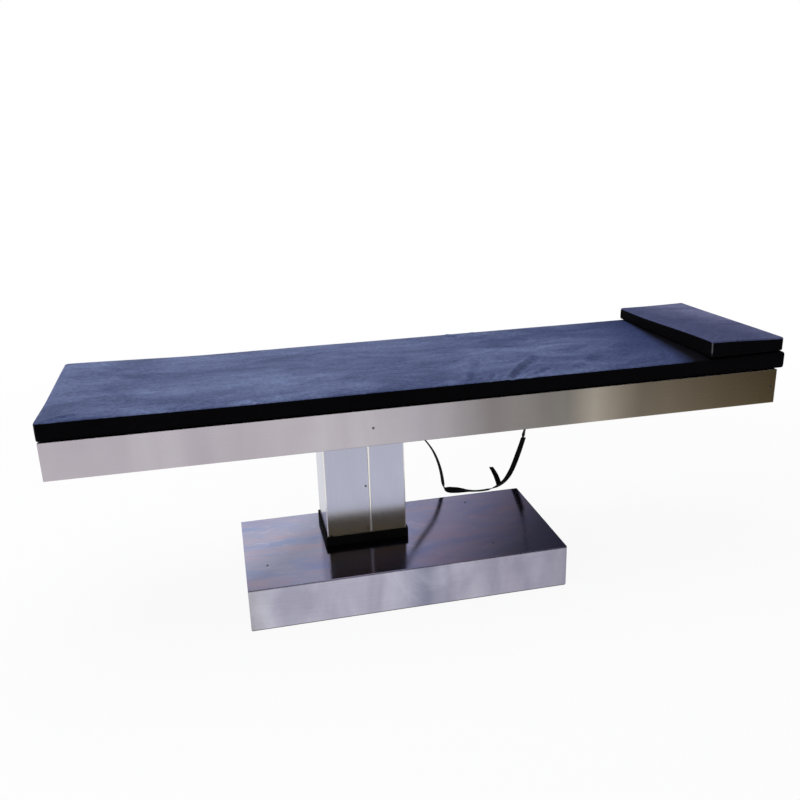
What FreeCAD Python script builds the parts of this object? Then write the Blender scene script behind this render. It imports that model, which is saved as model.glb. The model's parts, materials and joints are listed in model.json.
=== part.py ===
import FreeCAD, Part
import math
import os
import Sketcher
from FreeCAD import Vector

# Height-adjustable operating table: a long flat top on one box column and a low base.
# The column rises, and a gimbal head tilts the top end to end and side to side.
# Frame: X along the top (head end +X), Y across it (+Y is the rear), Z up, floor at Z = 0,
# the origin on the floor under the middle of the top.

# Driving dimensions in millimetres, degrees where the name says angle
SIZES = {
    # Top
    "table_length": 2000, "table_width": 530, "skirt_underside": 490.5, "skirt_height": 100,
    "skirt_wall": 1.5, "skirt_top_lip": 24, "skirt_bottom_lip": 14, "bend_radius": 2.4,
    "skirt_tab": 25, "skirt_tab_height": 74, "skirt_screw_inset": 16, "skirt_screw_rise": 50.5,
    "cross_bar_width": 40, "cross_bar_thickness": 6, "end_bar_inset": 50, "inner_bar_place": 560,
    "rail_width": 30, "rail_height": 40, "rail_wall": 2, "rail_spacing": 300, "rail_end_gap": 30,
    "bracket_width": 36, "bracket_drop": 60, "bracket_wall": 3,
    # Pad and head cushion
    "strip_thickness": 1.5, "strip_width": 50, "strip_spacing": 340, "strip_end_gap": 60,
    "pad_thickness": 49.5, "pad_head_overhang": 28, "pad_foot_overhang": 5, "pad_edge_bevel": 5,
    "pad_corner_radius": 16, "cushion_length": 236, "cushion_thickness": 41,
    "cushion_edge_bevel": 3, "cushion_corner_radius": 12, "cushion_strip_length": 160,
    # Column
    "column_place": -180.5, "column_length": 235.5, "column_width": 185.6, "cover_top_drop": 28.5,
    "cover_foot_gap": 1, "cover_wall": 1.5, "cover_bend_radius": 4, "hem_width": 4, "hem_height": 0.9,
    "seam_place": 10, "seam_gap": 0.8, "seam_overlap": 20,
    "collar_height": 26.3, "collar_overhang": 4.7, "collar_clearance": 0.3,
    "cover_screw_seam_inset": 9, "cover_screw_corner_inset": 11,
    "cover_screw_low": 168, "cover_screw_high": 300.8,
    "sleeve_wall": 1.2, "sleeve_clearance": 3.25, "sleeve_top_gap": 37,
    "outer_mast_length": 150, "outer_mast_width": 120, "outer_mast_wall": 6, "outer_mast_top_gap": 8,
    "mast_flange_reach": 25, "mast_flange_thickness": 10, "mast_bolt_inset": 13,
    "inner_mast_gap": 3, "inner_mast_wall": 5, "inner_mast_foot_gap": 12,
    "glide_height": 30, "glide_clearance": 0.05, "mast_corner_radius": 7,
    "cylinder_radius": 30, "cylinder_top_gap": 22, "rod_radius": 18, "rod_clearance": 0.05,
    "cylinder_floor": 15, "gland_height": 14, "gland_radius": 26, "rod_foot_gap": 5,
    # Gimbal head
    "pivot_rise": 46.5, "head_plate_drop": 102, "head_plate_thickness": 12,
    "lug_reach": 58, "lug_thickness": 18, "lug_radius": 20, "lug_foot_half": 34,
    "trunnion_radius": 12, "bush_wall": 3, "bush_flange": 2, "bush_flange_rim": 3,
    "bush_clearance": 0.05, "ring_length": 160, "ring_width": 104, "ring_height": 36,
    "ring_side_wall": 22, "ring_end_wall": 24, "ring_corner_radius": 14,
    "end_lug_reach": 90, "end_lug_thickness": 16, "end_lug_top_half": 32,
    "saddle_thickness": 10, "saddle_length": 260, "saddle_window_length": 156,
    "saddle_window_width": 200, "gear_module": 2, "sector_teeth": 40, "pinion_teeth": 12,
    "pressure_angle": 20, "gear_backlash": 0.3, "gear_width": 8, "gear_side_gap": 3,
    "sector_addendum": 1.4, "sector_half_angle": 34, "sector_hub_radius": 19,
    "pinion_shaft_radius": 5, "pinion_shaft_gap": 0.1, "pinion_bore_clearance": 3,
    "gearmotor_radius": 15, "gearbox_radius": 17, "gearbox_length": 34, "side_motor_length": 92,
    "end_motor_length": 42, "motor_plate_thickness": 8, "motor_plate_half": 24,
    "motor_plate_rise": 10, "motor_plate_margin": 2,
    # Base
    "base_length": 906, "base_width": 416, "base_height": 126, "base_place_x": -88,
    "base_place_y": -77, "base_wall": 1.5, "base_top_wall": 2, "base_reveal": 1.5,
    "panel_floor_gap": 3, "panel_lip": 20, "base_cutout_gap": 1,
    "bottom_plate_thickness": 8, "frame_height": 60, "frame_flange": 40, "frame_wall": 4,
    "tie_width": 40, "tie_thickness": 8, "foot_plate_length": 260, "foot_plate_thickness": 12,
    "tie_inset_left": 61, "tie_inset_right": 196, "standoff_radius": 8,
    "top_screw_left_inset": 123, "top_screw_front_inset": 79, "top_screw_rear_inset": 56,
    "ballast_height": 48, "ballast_left_inset": 51, "ballast_left_gap": 49.5,
    "ballast_right_inset": 165, "ballast_right_gap": 20.5, "ballast_side_gap": 12,
    "box_mast_gap": 20, "box_tie_gap": 14.5, "control_box_width": 140,
    "control_box_height": 50, "control_box_inset": 85, "battery_width": 110,
    "battery_height": 42, "battery_inset": 46,
    "bolt_radius": 6, "bolt_head_radius": 9, "bolt_head_height": 8, "bolt_clearance": 0.2,
    # Small screws
    "screw_radius": 1.6, "screw_head_radius": 3, "screw_head_height": 1.3, "screw_length": 8,
    "screw_clearance": 0.1, "skirt_screw_head_radius": 3.4, "cover_screw_length": 4.2,
    # Restraint strap
    "strap_inset": 37, "strap_width": 25, "strap_thickness": 2.4, "tail_width": 18,
    "link_radius": 2.5, "anchor_width": 22, "anchor_length": 34, "anchor_thickness": 3,
    "anchor_seat_gap": 0.5,
    # How far a cutting solid reaches past the face that it cuts
    "cut_margin": 1,
}


class Size:
    """A length held both as a number and as a formula of the sheet's cells."""

    def __init__(self, text, number):
        self.text = text
        self.number = number

    def __add__(self, other):
        other = as_size(other)
        return Size(f"({self.text} + {other.text})", self.number + other.number)

    def __sub__(self, other):
        other = as_size(other)
        return Size(f"({self.text} - {other.text})", self.number - other.number)

    def __mul__(self, factor):
        factor = as_size(factor)
        return Size(f"({self.text} * {factor.text})", self.number * factor.number)

    def __truediv__(self, divisor):
        divisor = as_size(divisor)
        return Size(f"({self.text} / {divisor.text})", self.number / divisor.number)

    def __neg__(self):
        return Size(f"(-1 * {self.text})", -self.number)


def as_size(thing):
    """A plain number becomes a size whose formula is that number."""
    if isinstance(thing, Size):
        return thing
    return Size(repr(thing), float(thing))


class Driving:
    """The driving dimensions by name, each bound to its cell."""


doc = FreeCAD.newDocument("operating_table")
sheet = doc.addObject("Spreadsheet::Sheet", "Sizes")
d = Driving()
for line, (word, number) in enumerate(SIZES.items(), start=1):
    sheet.set(f"A{line}", word)
    sheet.set(f"B{line}", str(number))
    sheet.setAlias(f"B{line}", word)
    setattr(d, word, Size(f"Sizes.{word}", float(number)))
doc.recompute()

ZERO = as_size(0)
pieces = []


def keep(thing, name):
    """A finished sub-part takes its own label, which names its file."""
    thing.Label = name
    pieces.append(thing)
    return thing


def bind(thing, **formulas):
    """Each named property follows a size. Double underscores stand for dots."""
    for property_name, size in formulas.items():
        thing.setExpression(property_name.replace("__", "."), as_size(size).text)
    return thing


def box(low, high, name="block"):
    """A block between two corners given as sizes."""
    block = doc.addObject("Part::Box", name)
    bind(block, Placement__Base__x=low[0], Placement__Base__y=low[1], Placement__Base__z=low[2],
         Length=as_size(high[0]) - low[0], Width=as_size(high[1]) - low[1],
         Height=as_size(high[2]) - low[2])
    return block


AXIS_TURNS = {
    "X": FreeCAD.Rotation(Vector(0, 1, 0), 90),
    "Y": FreeCAD.Rotation(Vector(1, 0, 0), -90),
    "Z": FreeCAD.Rotation(),
}


def round_bar(start, radius, length, axis="Z", name="bar"):
    """A cylinder that runs from its start point along +X, +Y or +Z."""
    bar = doc.addObject("Part::Cylinder", name)
    bar.Placement = FreeCAD.Placement(Vector(), AXIS_TURNS[axis])
    bind(bar, Placement__Base__x=start[0], Placement__Base__y=start[1],
         Placement__Base__z=start[2], Radius=radius, Height=length)
    return bar


def hexagon(start, radius, height, axis="Z"):
    """A hexagon bar that runs from its start point along +X, +Y or +Z."""
    bar = doc.addObject("Part::Prism", "hexagon")
    bar.Polygon = 6
    bar.Placement = FreeCAD.Placement(Vector(), AXIS_TURNS[axis])
    return bind(bar, Circumradius=radius, Height=height, Placement__Base__x=start[0],
                Placement__Base__y=start[1], Placement__Base__z=start[2])


def fuse(things, name="joined"):
    joined = doc.addObject("Part::MultiFuse", name)
    joined.Shapes = things
    joined.Refine = True
    return joined


def cut(base, tools, name="cut"):
    tool = tools[0] if len(tools) == 1 else fuse(tools, name + "_tools")
    result = doc.addObject("Part::Cut", name)
    result.Base = base
    result.Tool = tool
    result.Refine = True
    return result


def group(things, name="group"):
    """Several separate solids that share one node."""
    result = doc.addObject("Part::Compound", name)
    result.Links = things
    return result


def solid(shape, name, place=None):
    """A sub-part whose form no primitive, sketch or boolean gives."""
    thing = doc.addObject("Part::Feature", name)
    thing.Shape = shape
    if place is not None:
        thing.Placement = place
    return thing


PLANE_OF_AXIS = {"X": "YZ_Plane", "Y": "XZ_Plane", "Z": "XY_Plane"}


def profile_body(name, axis, corners, start, length, bends=(), radius=None):
    """A sketched outline padded along an axis. The corners numbered in bends are rounded."""
    body = doc.addObject("PartDesign::Body", name)
    sketch = body.newObject("Sketcher::SketchObject", name + "_sketch")
    plane = next(f for f in body.Origin.OriginFeatures if f.Role == PLANE_OF_AXIS[axis])
    sketch.AttachmentSupport = (plane, "")
    sketch.MapMode = "FlatFace"
    corners = [(as_size(across), as_size(up)) for across, up in corners]
    points = [Vector(across.number, up.number, 0) for across, up in corners]
    count = len(points)
    for i in range(count):
        sketch.addGeometry(Part.LineSegment(points[i], points[(i + 1) % count]))
    for i in range(count):
        sketch.addConstraint(Sketcher.Constraint("Coincident", i, 2, (i + 1) % count, 1))
    for i in range(count):
        for kind, size in zip(("DistanceX", "DistanceY"), corners[i]):
            number = sketch.addConstraint(
                Sketcher.Constraint(kind, -1, 1, i, 1, size.number))
            sketch.setExpression(f"Constraints[{number}]", size.text)
    # The XZ plane faces -Y, so a pad along +Y runs against its normal
    toward = -1 if axis == "Y" else 1
    bind(sketch, AttachmentOffset__Base__z=as_size(start) * toward)
    pad = body.newObject("PartDesign::Pad", name + "_pad")
    pad.Profile = sketch
    pad.Reversed = axis == "Y"
    bind(pad, Length=length)
    if bends:
        doc.recompute()
        bent = [points[i] for i in bends]
        edges = [f"Edge{n}" for n, edge in enumerate(pad.Shape.Edges, start=1)
                 if runs_at(edge, axis, bent)]
        bend = body.newObject("PartDesign::Fillet", name + "_bends")
        bend.Base = (pad, edges)
        bind(bend, Radius=radius)
    return body


def flat_place(point, axis):
    """A point's two places across an axis, in the sketch plane's order."""
    return {"X": (point.y, point.z), "Y": (point.x, point.z), "Z": (point.x, point.y)}[axis]


def runs_at(edge, axis, corners):
    """True for a straight edge along the axis through one of the corners."""
    if len(edge.Vertexes) != 2:
        return False
    first = flat_place(edge.Vertexes[0].Point, axis)
    last = flat_place(edge.Vertexes[1].Point, axis)
    if math.dist(first, last) > 1e-6:
        return False
    return any(math.dist(first, (corner.x, corner.y)) < 1e-6 for corner in corners)


def round_edges(thing, radius, chosen, name="rounded"):
    """Fillets on the edges that the test picks."""
    doc.recompute()
    rounded = doc.addObject("Part::Fillet", name)
    rounded.Base = thing
    rounded.Edges = [(n, radius.number, radius.number)
                     for n, edge in enumerate(thing.Shape.Edges, start=1) if chosen(edge)]
    return rounded


def is_upright(edge):
    """A straight vertical edge."""
    if len(edge.Vertexes) != 2:
        return False
    way = edge.Vertexes[1].Point - edge.Vertexes[0].Point
    return abs(way.z) > 1e-6 and math.hypot(way.x, way.y) < 1e-6


def tube_between(outer_half, inner_half, centre, low, high, radius=None, name="tube"):
    """A rectangular tube around a vertical axis, with rounded outer corners."""
    outer = centred_box(outer_half, centre, low, high)
    if radius is not None:
        outer = round_edges(outer, radius, is_upright)
    inner = centred_box(inner_half, centre, as_size(low) - d.cut_margin, as_size(high) + d.cut_margin)
    return cut(outer, [inner], name)


def between(first, last):
    """A block between two opposite corners in any order."""
    pairs = [(as_size(a), as_size(b)) for a, b in zip(first, last)]
    low = [a if a.number <= b.number else b for a, b in pairs]
    high = [b if a.number <= b.number else a for a, b in pairs]
    return box(low, high)


def centred_box(half, centre, low, high, name="block"):
    return box((centre[0] - half[0], centre[1] - half[1], low),
               (centre[0] + half[0], centre[1] + half[1], high), name)


# Places that several pieces share
column = (d.column_place, ZERO)
table_half = d.table_length / 2
width_half = d.table_width / 2
skirt_top = d.skirt_underside + d.skirt_height
pivot_height = d.skirt_underside + d.pivot_rise
cover_top = d.skirt_underside - d.cover_top_drop
sleeve_top = cover_top - d.sleeve_top_gap
deck_underside = skirt_top - d.skirt_wall
lip_underside = deck_underside - d.skirt_wall
bar_underside = lip_underside - d.cross_bar_thickness
skirt_inner = width_half - d.skirt_wall
pad_underside = skirt_top + d.strip_thickness
pad_top = pad_underside + d.pad_thickness
cushion_underside = pad_top + d.strip_thickness
cover_half = (d.column_length / 2, d.column_width / 2)
cover_inner = (cover_half[0] - d.cover_wall, cover_half[1] - d.cover_wall)
sleeve_half = (cover_inner[0] - d.sleeve_clearance, cover_inner[1] - d.sleeve_clearance)
frame_top = d.bottom_plate_thickness + d.frame_height
foot_plate_top = frame_top + d.foot_plate_thickness
base_low = (d.base_place_x - d.base_length / 2, d.base_place_y - d.base_width / 2)
base_high = (d.base_place_x + d.base_length / 2, d.base_place_y + d.base_width / 2)
base_inner_low = (base_low[0] + d.base_wall, base_low[1] + d.base_wall)
base_inner_high = (base_high[0] - d.base_wall, base_high[1] - d.base_wall)
tie_left = base_low[0] + d.tie_inset_left
tie_right = base_high[0] - d.tie_inset_right
foot_plate_ends = (d.column_place - d.foot_plate_length / 2,
                   d.column_place + d.foot_plate_length / 2)
base_top_underside = d.base_height - d.base_top_wall
panel_top = base_top_underside - d.base_reveal
head_plate_top = pivot_height - d.head_plate_drop + d.head_plate_thickness
head_plate_low = pivot_height - d.head_plate_drop
outer_mast_top = head_plate_low - d.outer_mast_top_gap
cylinder_top = outer_mast_top - d.cylinder_top_gap
outer_mast_half = (d.outer_mast_length / 2, d.outer_mast_width / 2)
outer_mast_inner = (outer_mast_half[0] - d.outer_mast_wall, outer_mast_half[1] - d.outer_mast_wall)
inner_mast_half = (outer_mast_inner[0] - d.inner_mast_gap, outer_mast_inner[1] - d.inner_mast_gap)
inner_mast_foot = foot_plate_top + d.inner_mast_foot_gap


# Screws, bolts and rivets


def screw(x, y, z, way, head_radius, length):
    """A cheese-head screw whose head stands on a face that looks along the way."""
    axis = way[1]
    at = "XYZ".index(axis)
    head_start = [as_size(x), as_size(y), as_size(z)]
    shank_start = list(head_start)
    if way[0] == "+":
        shank_start[at] = shank_start[at] - length
    else:
        head_start[at] = head_start[at] - d.screw_head_height
    head = round_bar(head_start, head_radius, d.screw_head_height, axis)
    shank = hexagon(shank_start, d.screw_radius, length, axis)
    return fuse([head, shank], "screw")


def screw_hole(x, y, z, way):
    """The clearance hole of such a screw, right through the sheets behind its face."""
    axis = way[1]
    at = "XYZ".index(axis)
    start = [as_size(x), as_size(y), as_size(z)]
    back = d.screw_length + d.cut_margin if way[0] == "+" else d.cut_margin
    start[at] = start[at] - back
    return round_bar(start, d.screw_radius + d.screw_clearance, d.screw_length + d.cut_margin * 2, axis)


# Base


def bottom_plate():
    """The heavy steel plate that the table stands on."""
    return keep(box((*base_inner_low, ZERO), (*base_inner_high, d.bottom_plate_thickness)),
                "bottom_plate")


def base_frame():
    """A welded ring of steel channel, open to the inside, on the bottom plate."""
    outer = box((*base_inner_low, d.bottom_plate_thickness), (*base_inner_high, frame_top))
    flange = d.frame_flange
    window = box((base_inner_low[0] + flange, base_inner_low[1] + flange,
                  d.bottom_plate_thickness - d.cut_margin),
                 (base_inner_high[0] - flange, base_inner_high[1] - flange,
                  frame_top + d.cut_margin))
    wall = d.frame_wall
    channel = box((base_inner_low[0] + wall, base_inner_low[1] + wall, d.bottom_plate_thickness + wall),
                  (base_inner_high[0] - wall, base_inner_high[1] - wall, frame_top - wall))
    return keep(cut(outer, [window, channel]), "base_frame")


def tie_bars():
    """Two flat bars across the frame, which carry the stand-offs of the top sheet."""
    bars = [box((place - d.tie_width / 2, base_inner_low[1], frame_top),
                (place + d.tie_width / 2, base_inner_high[1], frame_top + d.tie_thickness))
            for place in (tie_left, tie_right)]
    return keep(group(bars), "tie_bars")


top_screw_places = [(tie_left, base_low[1] + d.top_screw_left_inset),
                    (tie_right, base_low[1] + d.top_screw_front_inset),
                    (tie_right, base_high[1] - d.top_screw_rear_inset)]


def base_standoffs():
    """Posts under the three screws of the base top sheet."""
    posts = []
    start = frame_top + d.tie_thickness
    for x, y in top_screw_places:
        post = hexagon((x, y, start), d.standoff_radius, base_top_underside - start)
        posts.append(cut(post, [screw_hole(x, y, d.base_height, "+Z")], "post"))
    return keep(group(posts), "base_standoffs")


def base_top():
    """The polished top sheet, with its cut-out for the column sleeve."""
    top = box((*base_low, base_top_underside), (*base_high, d.base_height))
    gap = d.base_cutout_gap
    opening = centred_box((sleeve_half[0] + gap, sleeve_half[1] + gap), column,
                          base_top_underside - d.cut_margin, d.base_height + d.cut_margin)
    holes = [screw_hole(x, y, d.base_height, "+Z") for x, y in top_screw_places]
    return keep(cut(top, [opening] + holes), "base_top")


def base_top_screws():
    heads = [screw(x, y, d.base_height, "+Z", d.screw_head_radius, d.screw_length)
             for x, y in top_screw_places]
    return keep(group(heads), "base_top_screws")


def long_base_panel(name, outer, inward):
    """The front or rear panel: a sheet with its top edge folded inward."""
    wall = d.base_wall * inward
    lip = d.panel_lip * inward
    corners = [(outer, d.panel_floor_gap), (outer, panel_top), (outer + lip, panel_top),
               (outer + lip, panel_top - d.base_wall), (outer + wall, panel_top - d.base_wall),
               (outer + wall, d.panel_floor_gap)]
    body = profile_body(name + "_sheet", "X", corners, base_low[0], d.base_length,
                        bends=[1], radius=d.bend_radius)
    notches = [between((x - d.base_wall, outer + wall, panel_top - d.base_wall - d.cut_margin),
                       (x + d.base_wall, outer + lip * 2, panel_top + d.cut_margin))
               for x in (base_low[0], base_high[0])]
    return keep(cut(body, notches), name)


def end_base_panel(name, outer, inward):
    """An end panel between the long ones, its folded edge cut back at the corners."""
    wall = d.base_wall * inward
    lip = d.panel_lip * inward
    sheet_body = profile_body(
        name + "_web", "Y",
        [(outer, d.panel_floor_gap), (outer, panel_top), (outer + wall, panel_top),
         (outer + wall, d.panel_floor_gap)],
        base_inner_low[1], d.base_width - d.base_wall * 2)
    lip_low = base_inner_low[1] + d.panel_lip
    lip_high = base_inner_high[1] - d.panel_lip
    lip_block = between((outer, lip_low, panel_top - d.base_wall),
                        (outer + lip, lip_high, panel_top))
    return keep(fuse([sheet_body, lip_block]), name)


def mast_foot_plate():
    """The thick plate across the frame that the mast stands on."""
    plate = box((foot_plate_ends[0], base_inner_low[1], frame_top),
                (foot_plate_ends[1], base_inner_high[1], foot_plate_top))
    return keep(cut(plate, mast_bolt_holes()), "mast_foot_plate")


def mast_bolt_places():
    reach = (outer_mast_half[0] + d.mast_flange_reach - d.mast_bolt_inset,
             outer_mast_half[1] + d.mast_flange_reach - d.mast_bolt_inset)
    return [(d.column_place + reach[0] * side, reach[1] * way)
            for side in (-1, 1) for way in (-1, 1)]


def mast_bolt_holes():
    return [round_bar((x, y, frame_top - d.cut_margin), d.bolt_radius + d.bolt_clearance,
                      d.foot_plate_thickness + d.mast_flange_thickness + d.cut_margin * 2)
            for x, y in mast_bolt_places()]


def mast_bolts():
    """Four hexagon bolts through the mast flange into the foot plate."""
    bolts = []
    flange_top = foot_plate_top + d.mast_flange_thickness
    for x, y in mast_bolt_places():
        head = hexagon((x, y, flange_top), d.bolt_head_radius, d.bolt_head_height)
        shank = hexagon((x, y, frame_top), d.bolt_radius, flange_top - frame_top)
        bolts.append(fuse([head, shank], "bolt"))
    return keep(group(bolts), "mast_bolts")


def ballast_blocks():
    """Cast blocks that lie on the lower flanges of the frame channel."""
    low = d.bottom_plate_thickness + d.frame_wall
    blocks = []
    ends = ((base_low[0] + d.ballast_left_inset, foot_plate_ends[0] - d.ballast_left_gap),
            (foot_plate_ends[1] + d.ballast_right_gap, base_high[0] - d.ballast_right_inset))
    for start, end in ends:
        blocks.append(box((start, base_inner_low[1] + d.ballast_side_gap, low),
                          (end, base_inner_high[1] - d.ballast_side_gap, low + d.ballast_height)))
    return keep(group(blocks), "ballast_blocks")


def drive_box(name, front, rear, height):
    """A closed electrical housing on the right ballast block."""
    low = d.bottom_plate_thickness + d.frame_wall + d.ballast_height
    housing = box((foot_plate_ends[1] + d.box_mast_gap, front, low),
                  (tie_right - d.tie_width / 2 - d.box_tie_gap, rear, low + height))
    return keep(round_edges(housing, d.bend_radius, is_upright), name)


# Column


def outer_mast():
    """The fixed square mast tube with its foot flange."""
    reach = (outer_mast_half[0] + d.mast_flange_reach, outer_mast_half[1] + d.mast_flange_reach)
    tube = round_edges(centred_box(outer_mast_half, column, foot_plate_top, outer_mast_top),
                       d.mast_corner_radius, is_upright)
    flange = centred_box(reach, column, foot_plate_top, foot_plate_top + d.mast_flange_thickness)
    bore = centred_box(outer_mast_inner, column, foot_plate_top - d.cut_margin,
                       outer_mast_top + d.cut_margin)
    return keep(cut(fuse([tube, flange]), [bore] + mast_bolt_holes()), "outer_mast")


def upper_glide():
    """The plastic guide ring in the mouth of the outer mast."""
    inner = (inner_mast_half[0] + d.glide_clearance, inner_mast_half[1] + d.glide_clearance)
    return keep(tube_between(outer_mast_inner, inner, column, outer_mast_top - d.glide_height,
                             outer_mast_top), "upper_glide")


def lower_glide():
    """The plastic guide ring round the foot of the inner mast."""
    outer = (outer_mast_inner[0] - d.glide_clearance, outer_mast_inner[1] - d.glide_clearance)
    return keep(tube_between(outer, inner_mast_half, column, inner_mast_foot,
                             inner_mast_foot + d.glide_height), "lower_glide")


def inner_mast():
    """The rising mast tube under the head."""
    inner = (inner_mast_half[0] - d.inner_mast_wall, inner_mast_half[1] - d.inner_mast_wall)
    return keep(tube_between(inner_mast_half, inner, column, inner_mast_foot, head_plate_low,
                             d.mast_corner_radius - d.inner_mast_gap), "inner_mast")


def lift_cylinder():
    """The fixed cylinder of the lifting drive, bored from the top."""
    start = (d.column_place, ZERO, foot_plate_top)
    outside = round_bar(start, d.cylinder_radius, cylinder_top - foot_plate_top)
    floor = foot_plate_top + d.cylinder_floor
    bore = round_bar((d.column_place, ZERO, floor), d.rod_radius + d.rod_clearance * 2,
                     cylinder_top - floor + d.cut_margin)
    return keep(cut(outside, [bore]), "lift_cylinder")


def lift_gland():
    """The gland nut that guides the rod at the mouth of the cylinder."""
    outside = round_bar((d.column_place, ZERO, cylinder_top), d.gland_radius, d.gland_height)
    bore = round_bar((d.column_place, ZERO, cylinder_top - d.cut_margin), d.rod_radius + d.rod_clearance,
                     d.gland_height + d.cut_margin * 2)
    return keep(cut(outside, [bore]), "lift_gland")


def lift_rod():
    """The rod that pushes the head up."""
    foot = foot_plate_top + d.cylinder_floor + d.rod_foot_gap
    return keep(round_bar((d.column_place, ZERO, foot), d.rod_radius, head_plate_low - foot),
                "lift_rod")


def dust_sleeve():
    """The fixed stainless sleeve that shows when the column is raised."""
    inner = (sleeve_half[0] - d.sleeve_wall, sleeve_half[1] - d.sleeve_wall)
    return keep(tube_between(sleeve_half, inner, column, foot_plate_top, sleeve_top),
                "dust_sleeve")


def foot_collar():
    """The rubber collar round the foot of the column, on the base top."""
    reach = d.collar_overhang
    outer = centred_box((cover_half[0] + reach, cover_half[1] + reach), column, d.base_height,
                        d.base_height + d.collar_height)
    outer = round_edges(outer, d.collar_overhang, is_upright)
    gap = d.collar_clearance
    inner = centred_box((cover_half[0] + gap, cover_half[1] + gap), column, d.base_height - d.cut_margin,
                        d.base_height + d.collar_height + d.cut_margin)
    return keep(cut(outer, [inner]), "foot_collar")


cover_low = d.base_height + d.cover_foot_gap
seam = d.column_place + d.seam_place


def cover_screw_places():
    near_seam = seam - d.cover_screw_seam_inset
    near_corner = d.column_place - cover_half[0] + d.cover_screw_corner_inset
    low = d.base_height + d.collar_height + d.screw_head_radius
    return [(near_seam, d.cover_screw_low), (near_seam, d.cover_screw_high), (near_corner, low)]


def cover_screw_holes():
    front = [screw_hole(x, -cover_half[1], z, "-Y") for x, z in cover_screw_places()]
    rear = [screw_hole(x, cover_half[1], z, "+Y") for x, z in cover_screw_places()]
    return front + rear


def column_cover_left():
    """The left column sheet, folded to a C and lapped over the right one at the seam."""
    left = d.column_place - cover_half[0]
    edge = seam - d.seam_gap / 2
    wall = d.cover_wall
    depth = cover_half[1]
    corners = [(edge, -depth), (left, -depth), (left, depth), (edge, depth),
               (edge, depth - wall), (left + wall, depth - wall), (left + wall, wall - depth),
               (edge, wall - depth)]
    body = profile_body("cover_left_sheet", "Z", corners, cover_low, cover_top - cover_low,
                        bends=[1, 2], radius=d.cover_bend_radius)
    return keep(cut(body, cover_screw_holes()), "column_cover_left")


def column_cover_right():
    """The right column sheet: a joggled flange behind each seam, and a hem along it."""
    right = d.column_place + cover_half[0]
    edge = seam + d.seam_gap / 2
    wall = d.cover_wall
    depth = cover_half[1]
    behind = depth - wall
    end = seam - d.seam_overlap
    half_outline = [(right, depth), (edge, depth), (edge, behind), (end, behind),
                    (end, behind - wall), (edge + wall, behind - wall), (edge + wall, behind),
                    (right - wall, behind)]
    front_half = [(x, -y) for x, y in reversed(half_outline)]
    body = profile_body("cover_right_sheet", "Z", half_outline + front_half, cover_low,
                        cover_top - cover_low, bends=[0, len(half_outline) * 2 - 1],
                        radius=d.cover_bend_radius)
    hem_low = d.base_height + d.collar_height + d.cover_foot_gap
    hems = [between((edge, depth * side, hem_low),
                    (edge + d.hem_width, (depth + d.hem_height) * side, cover_top))
            for side in (-1, 1)]
    return keep(cut(fuse([body] + hems), cover_screw_holes()), "column_cover_right")


def column_cover_screws():
    screws = []
    for x, z in cover_screw_places():
        for side, way in ((-1, "-Y"), (1, "+Y")):
            screws.append(screw(x, cover_half[1] * side, z, way, d.screw_head_radius,
                                d.cover_screw_length))
    return keep(group(screws), "column_cover_screws")


# Gimbal head


sector_radius = d.gear_module * d.sector_teeth / 2
pinion_radius = d.gear_module * d.pinion_teeth / 2
gear_distance = sector_radius + pinion_radius
pinion_height = pivot_height - gear_distance
bush_radius = d.trunnion_radius + d.bush_clearance + d.bush_wall
lug_outer = d.lug_reach + d.lug_thickness
end_lug_outer = d.end_lug_reach + d.end_lug_thickness


def lug(axis, start, thickness, radius, foot_half, foot_height, name):
    """A bearing lug: a tapered web that ends round about the pivot."""
    centre = d.column_place if axis == "Y" else ZERO
    web = profile_body(name, axis,
                       [(centre - foot_half, foot_height), (centre + foot_half, foot_height),
                        (centre + radius, pivot_height), (centre - radius, pivot_height)],
                       start, thickness)
    hub_start = ((d.column_place, start, pivot_height) if axis == "Y"
                 else (start, ZERO, pivot_height))
    return [web, round_bar(hub_start, radius, thickness, axis)]


def bore_along(axis, start, length, radius, height):
    place = (d.column_place, start, height) if axis == "Y" else (start, ZERO, height)
    return round_bar(place, radius, length, axis)


def head_yoke():
    """The head casting on the inner mast: a plate with two bearing lugs."""
    joggle_inner = cover_half[1] - d.cover_wall * 2
    plate = centred_box((cover_inner[0], joggle_inner), column, head_plate_low, head_plate_top)
    parts = [plate]
    for start in (-lug_outer, d.lug_reach):
        parts += lug("Y", start, d.lug_thickness, d.lug_radius, d.lug_foot_half,
                     head_plate_top - d.cut_margin, "yoke_lug")
    bush_bore = bore_along("Y", -lug_outer - d.cut_margin, lug_outer * 2 + d.cut_margin * 2,
                           bush_radius, pivot_height)
    shaft_bore = bore_along("Y", d.lug_reach - d.cut_margin, d.lug_thickness + d.cut_margin * 2,
                            d.pinion_shaft_radius + d.pinion_bore_clearance, pinion_height)
    return keep(cut(fuse(parts), [bush_bore, shaft_bore]), "head_yoke")


def bushes(name, axis, starts, thickness):
    """Plain bushes in a pair of lugs, each with its flange on the lug's inner face."""
    made = []
    running = d.trunnion_radius + d.bush_clearance
    margin = d.cut_margin + d.bush_flange
    rim = bush_radius + d.bush_flange_rim
    for start, inner_face in zip(starts, (starts[0] + thickness, starts[1] - d.bush_flange)):
        sleeve = bore_along(axis, start, thickness, bush_radius, pivot_height)
        flange = bore_along(axis, inner_face, d.bush_flange, rim, pivot_height)
        inside = bore_along(axis, start - margin, thickness + margin * 2, running, pivot_height)
        made.append(cut(fuse([sleeve, flange]), [inside], "bush"))
    return keep(group(made), name)


def gearmotor(name, axis, face, length):
    """A worm gearmotor, its gearbox flange against the face and its motor behind it."""
    gearbox = bore_along(axis, face - d.gearbox_length, d.gearbox_length, d.gearbox_radius,
                         pinion_height)
    motor = bore_along(axis, face - length, length, d.gearmotor_radius, pinion_height)
    return keep(fuse([gearbox, motor]), name)


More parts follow.
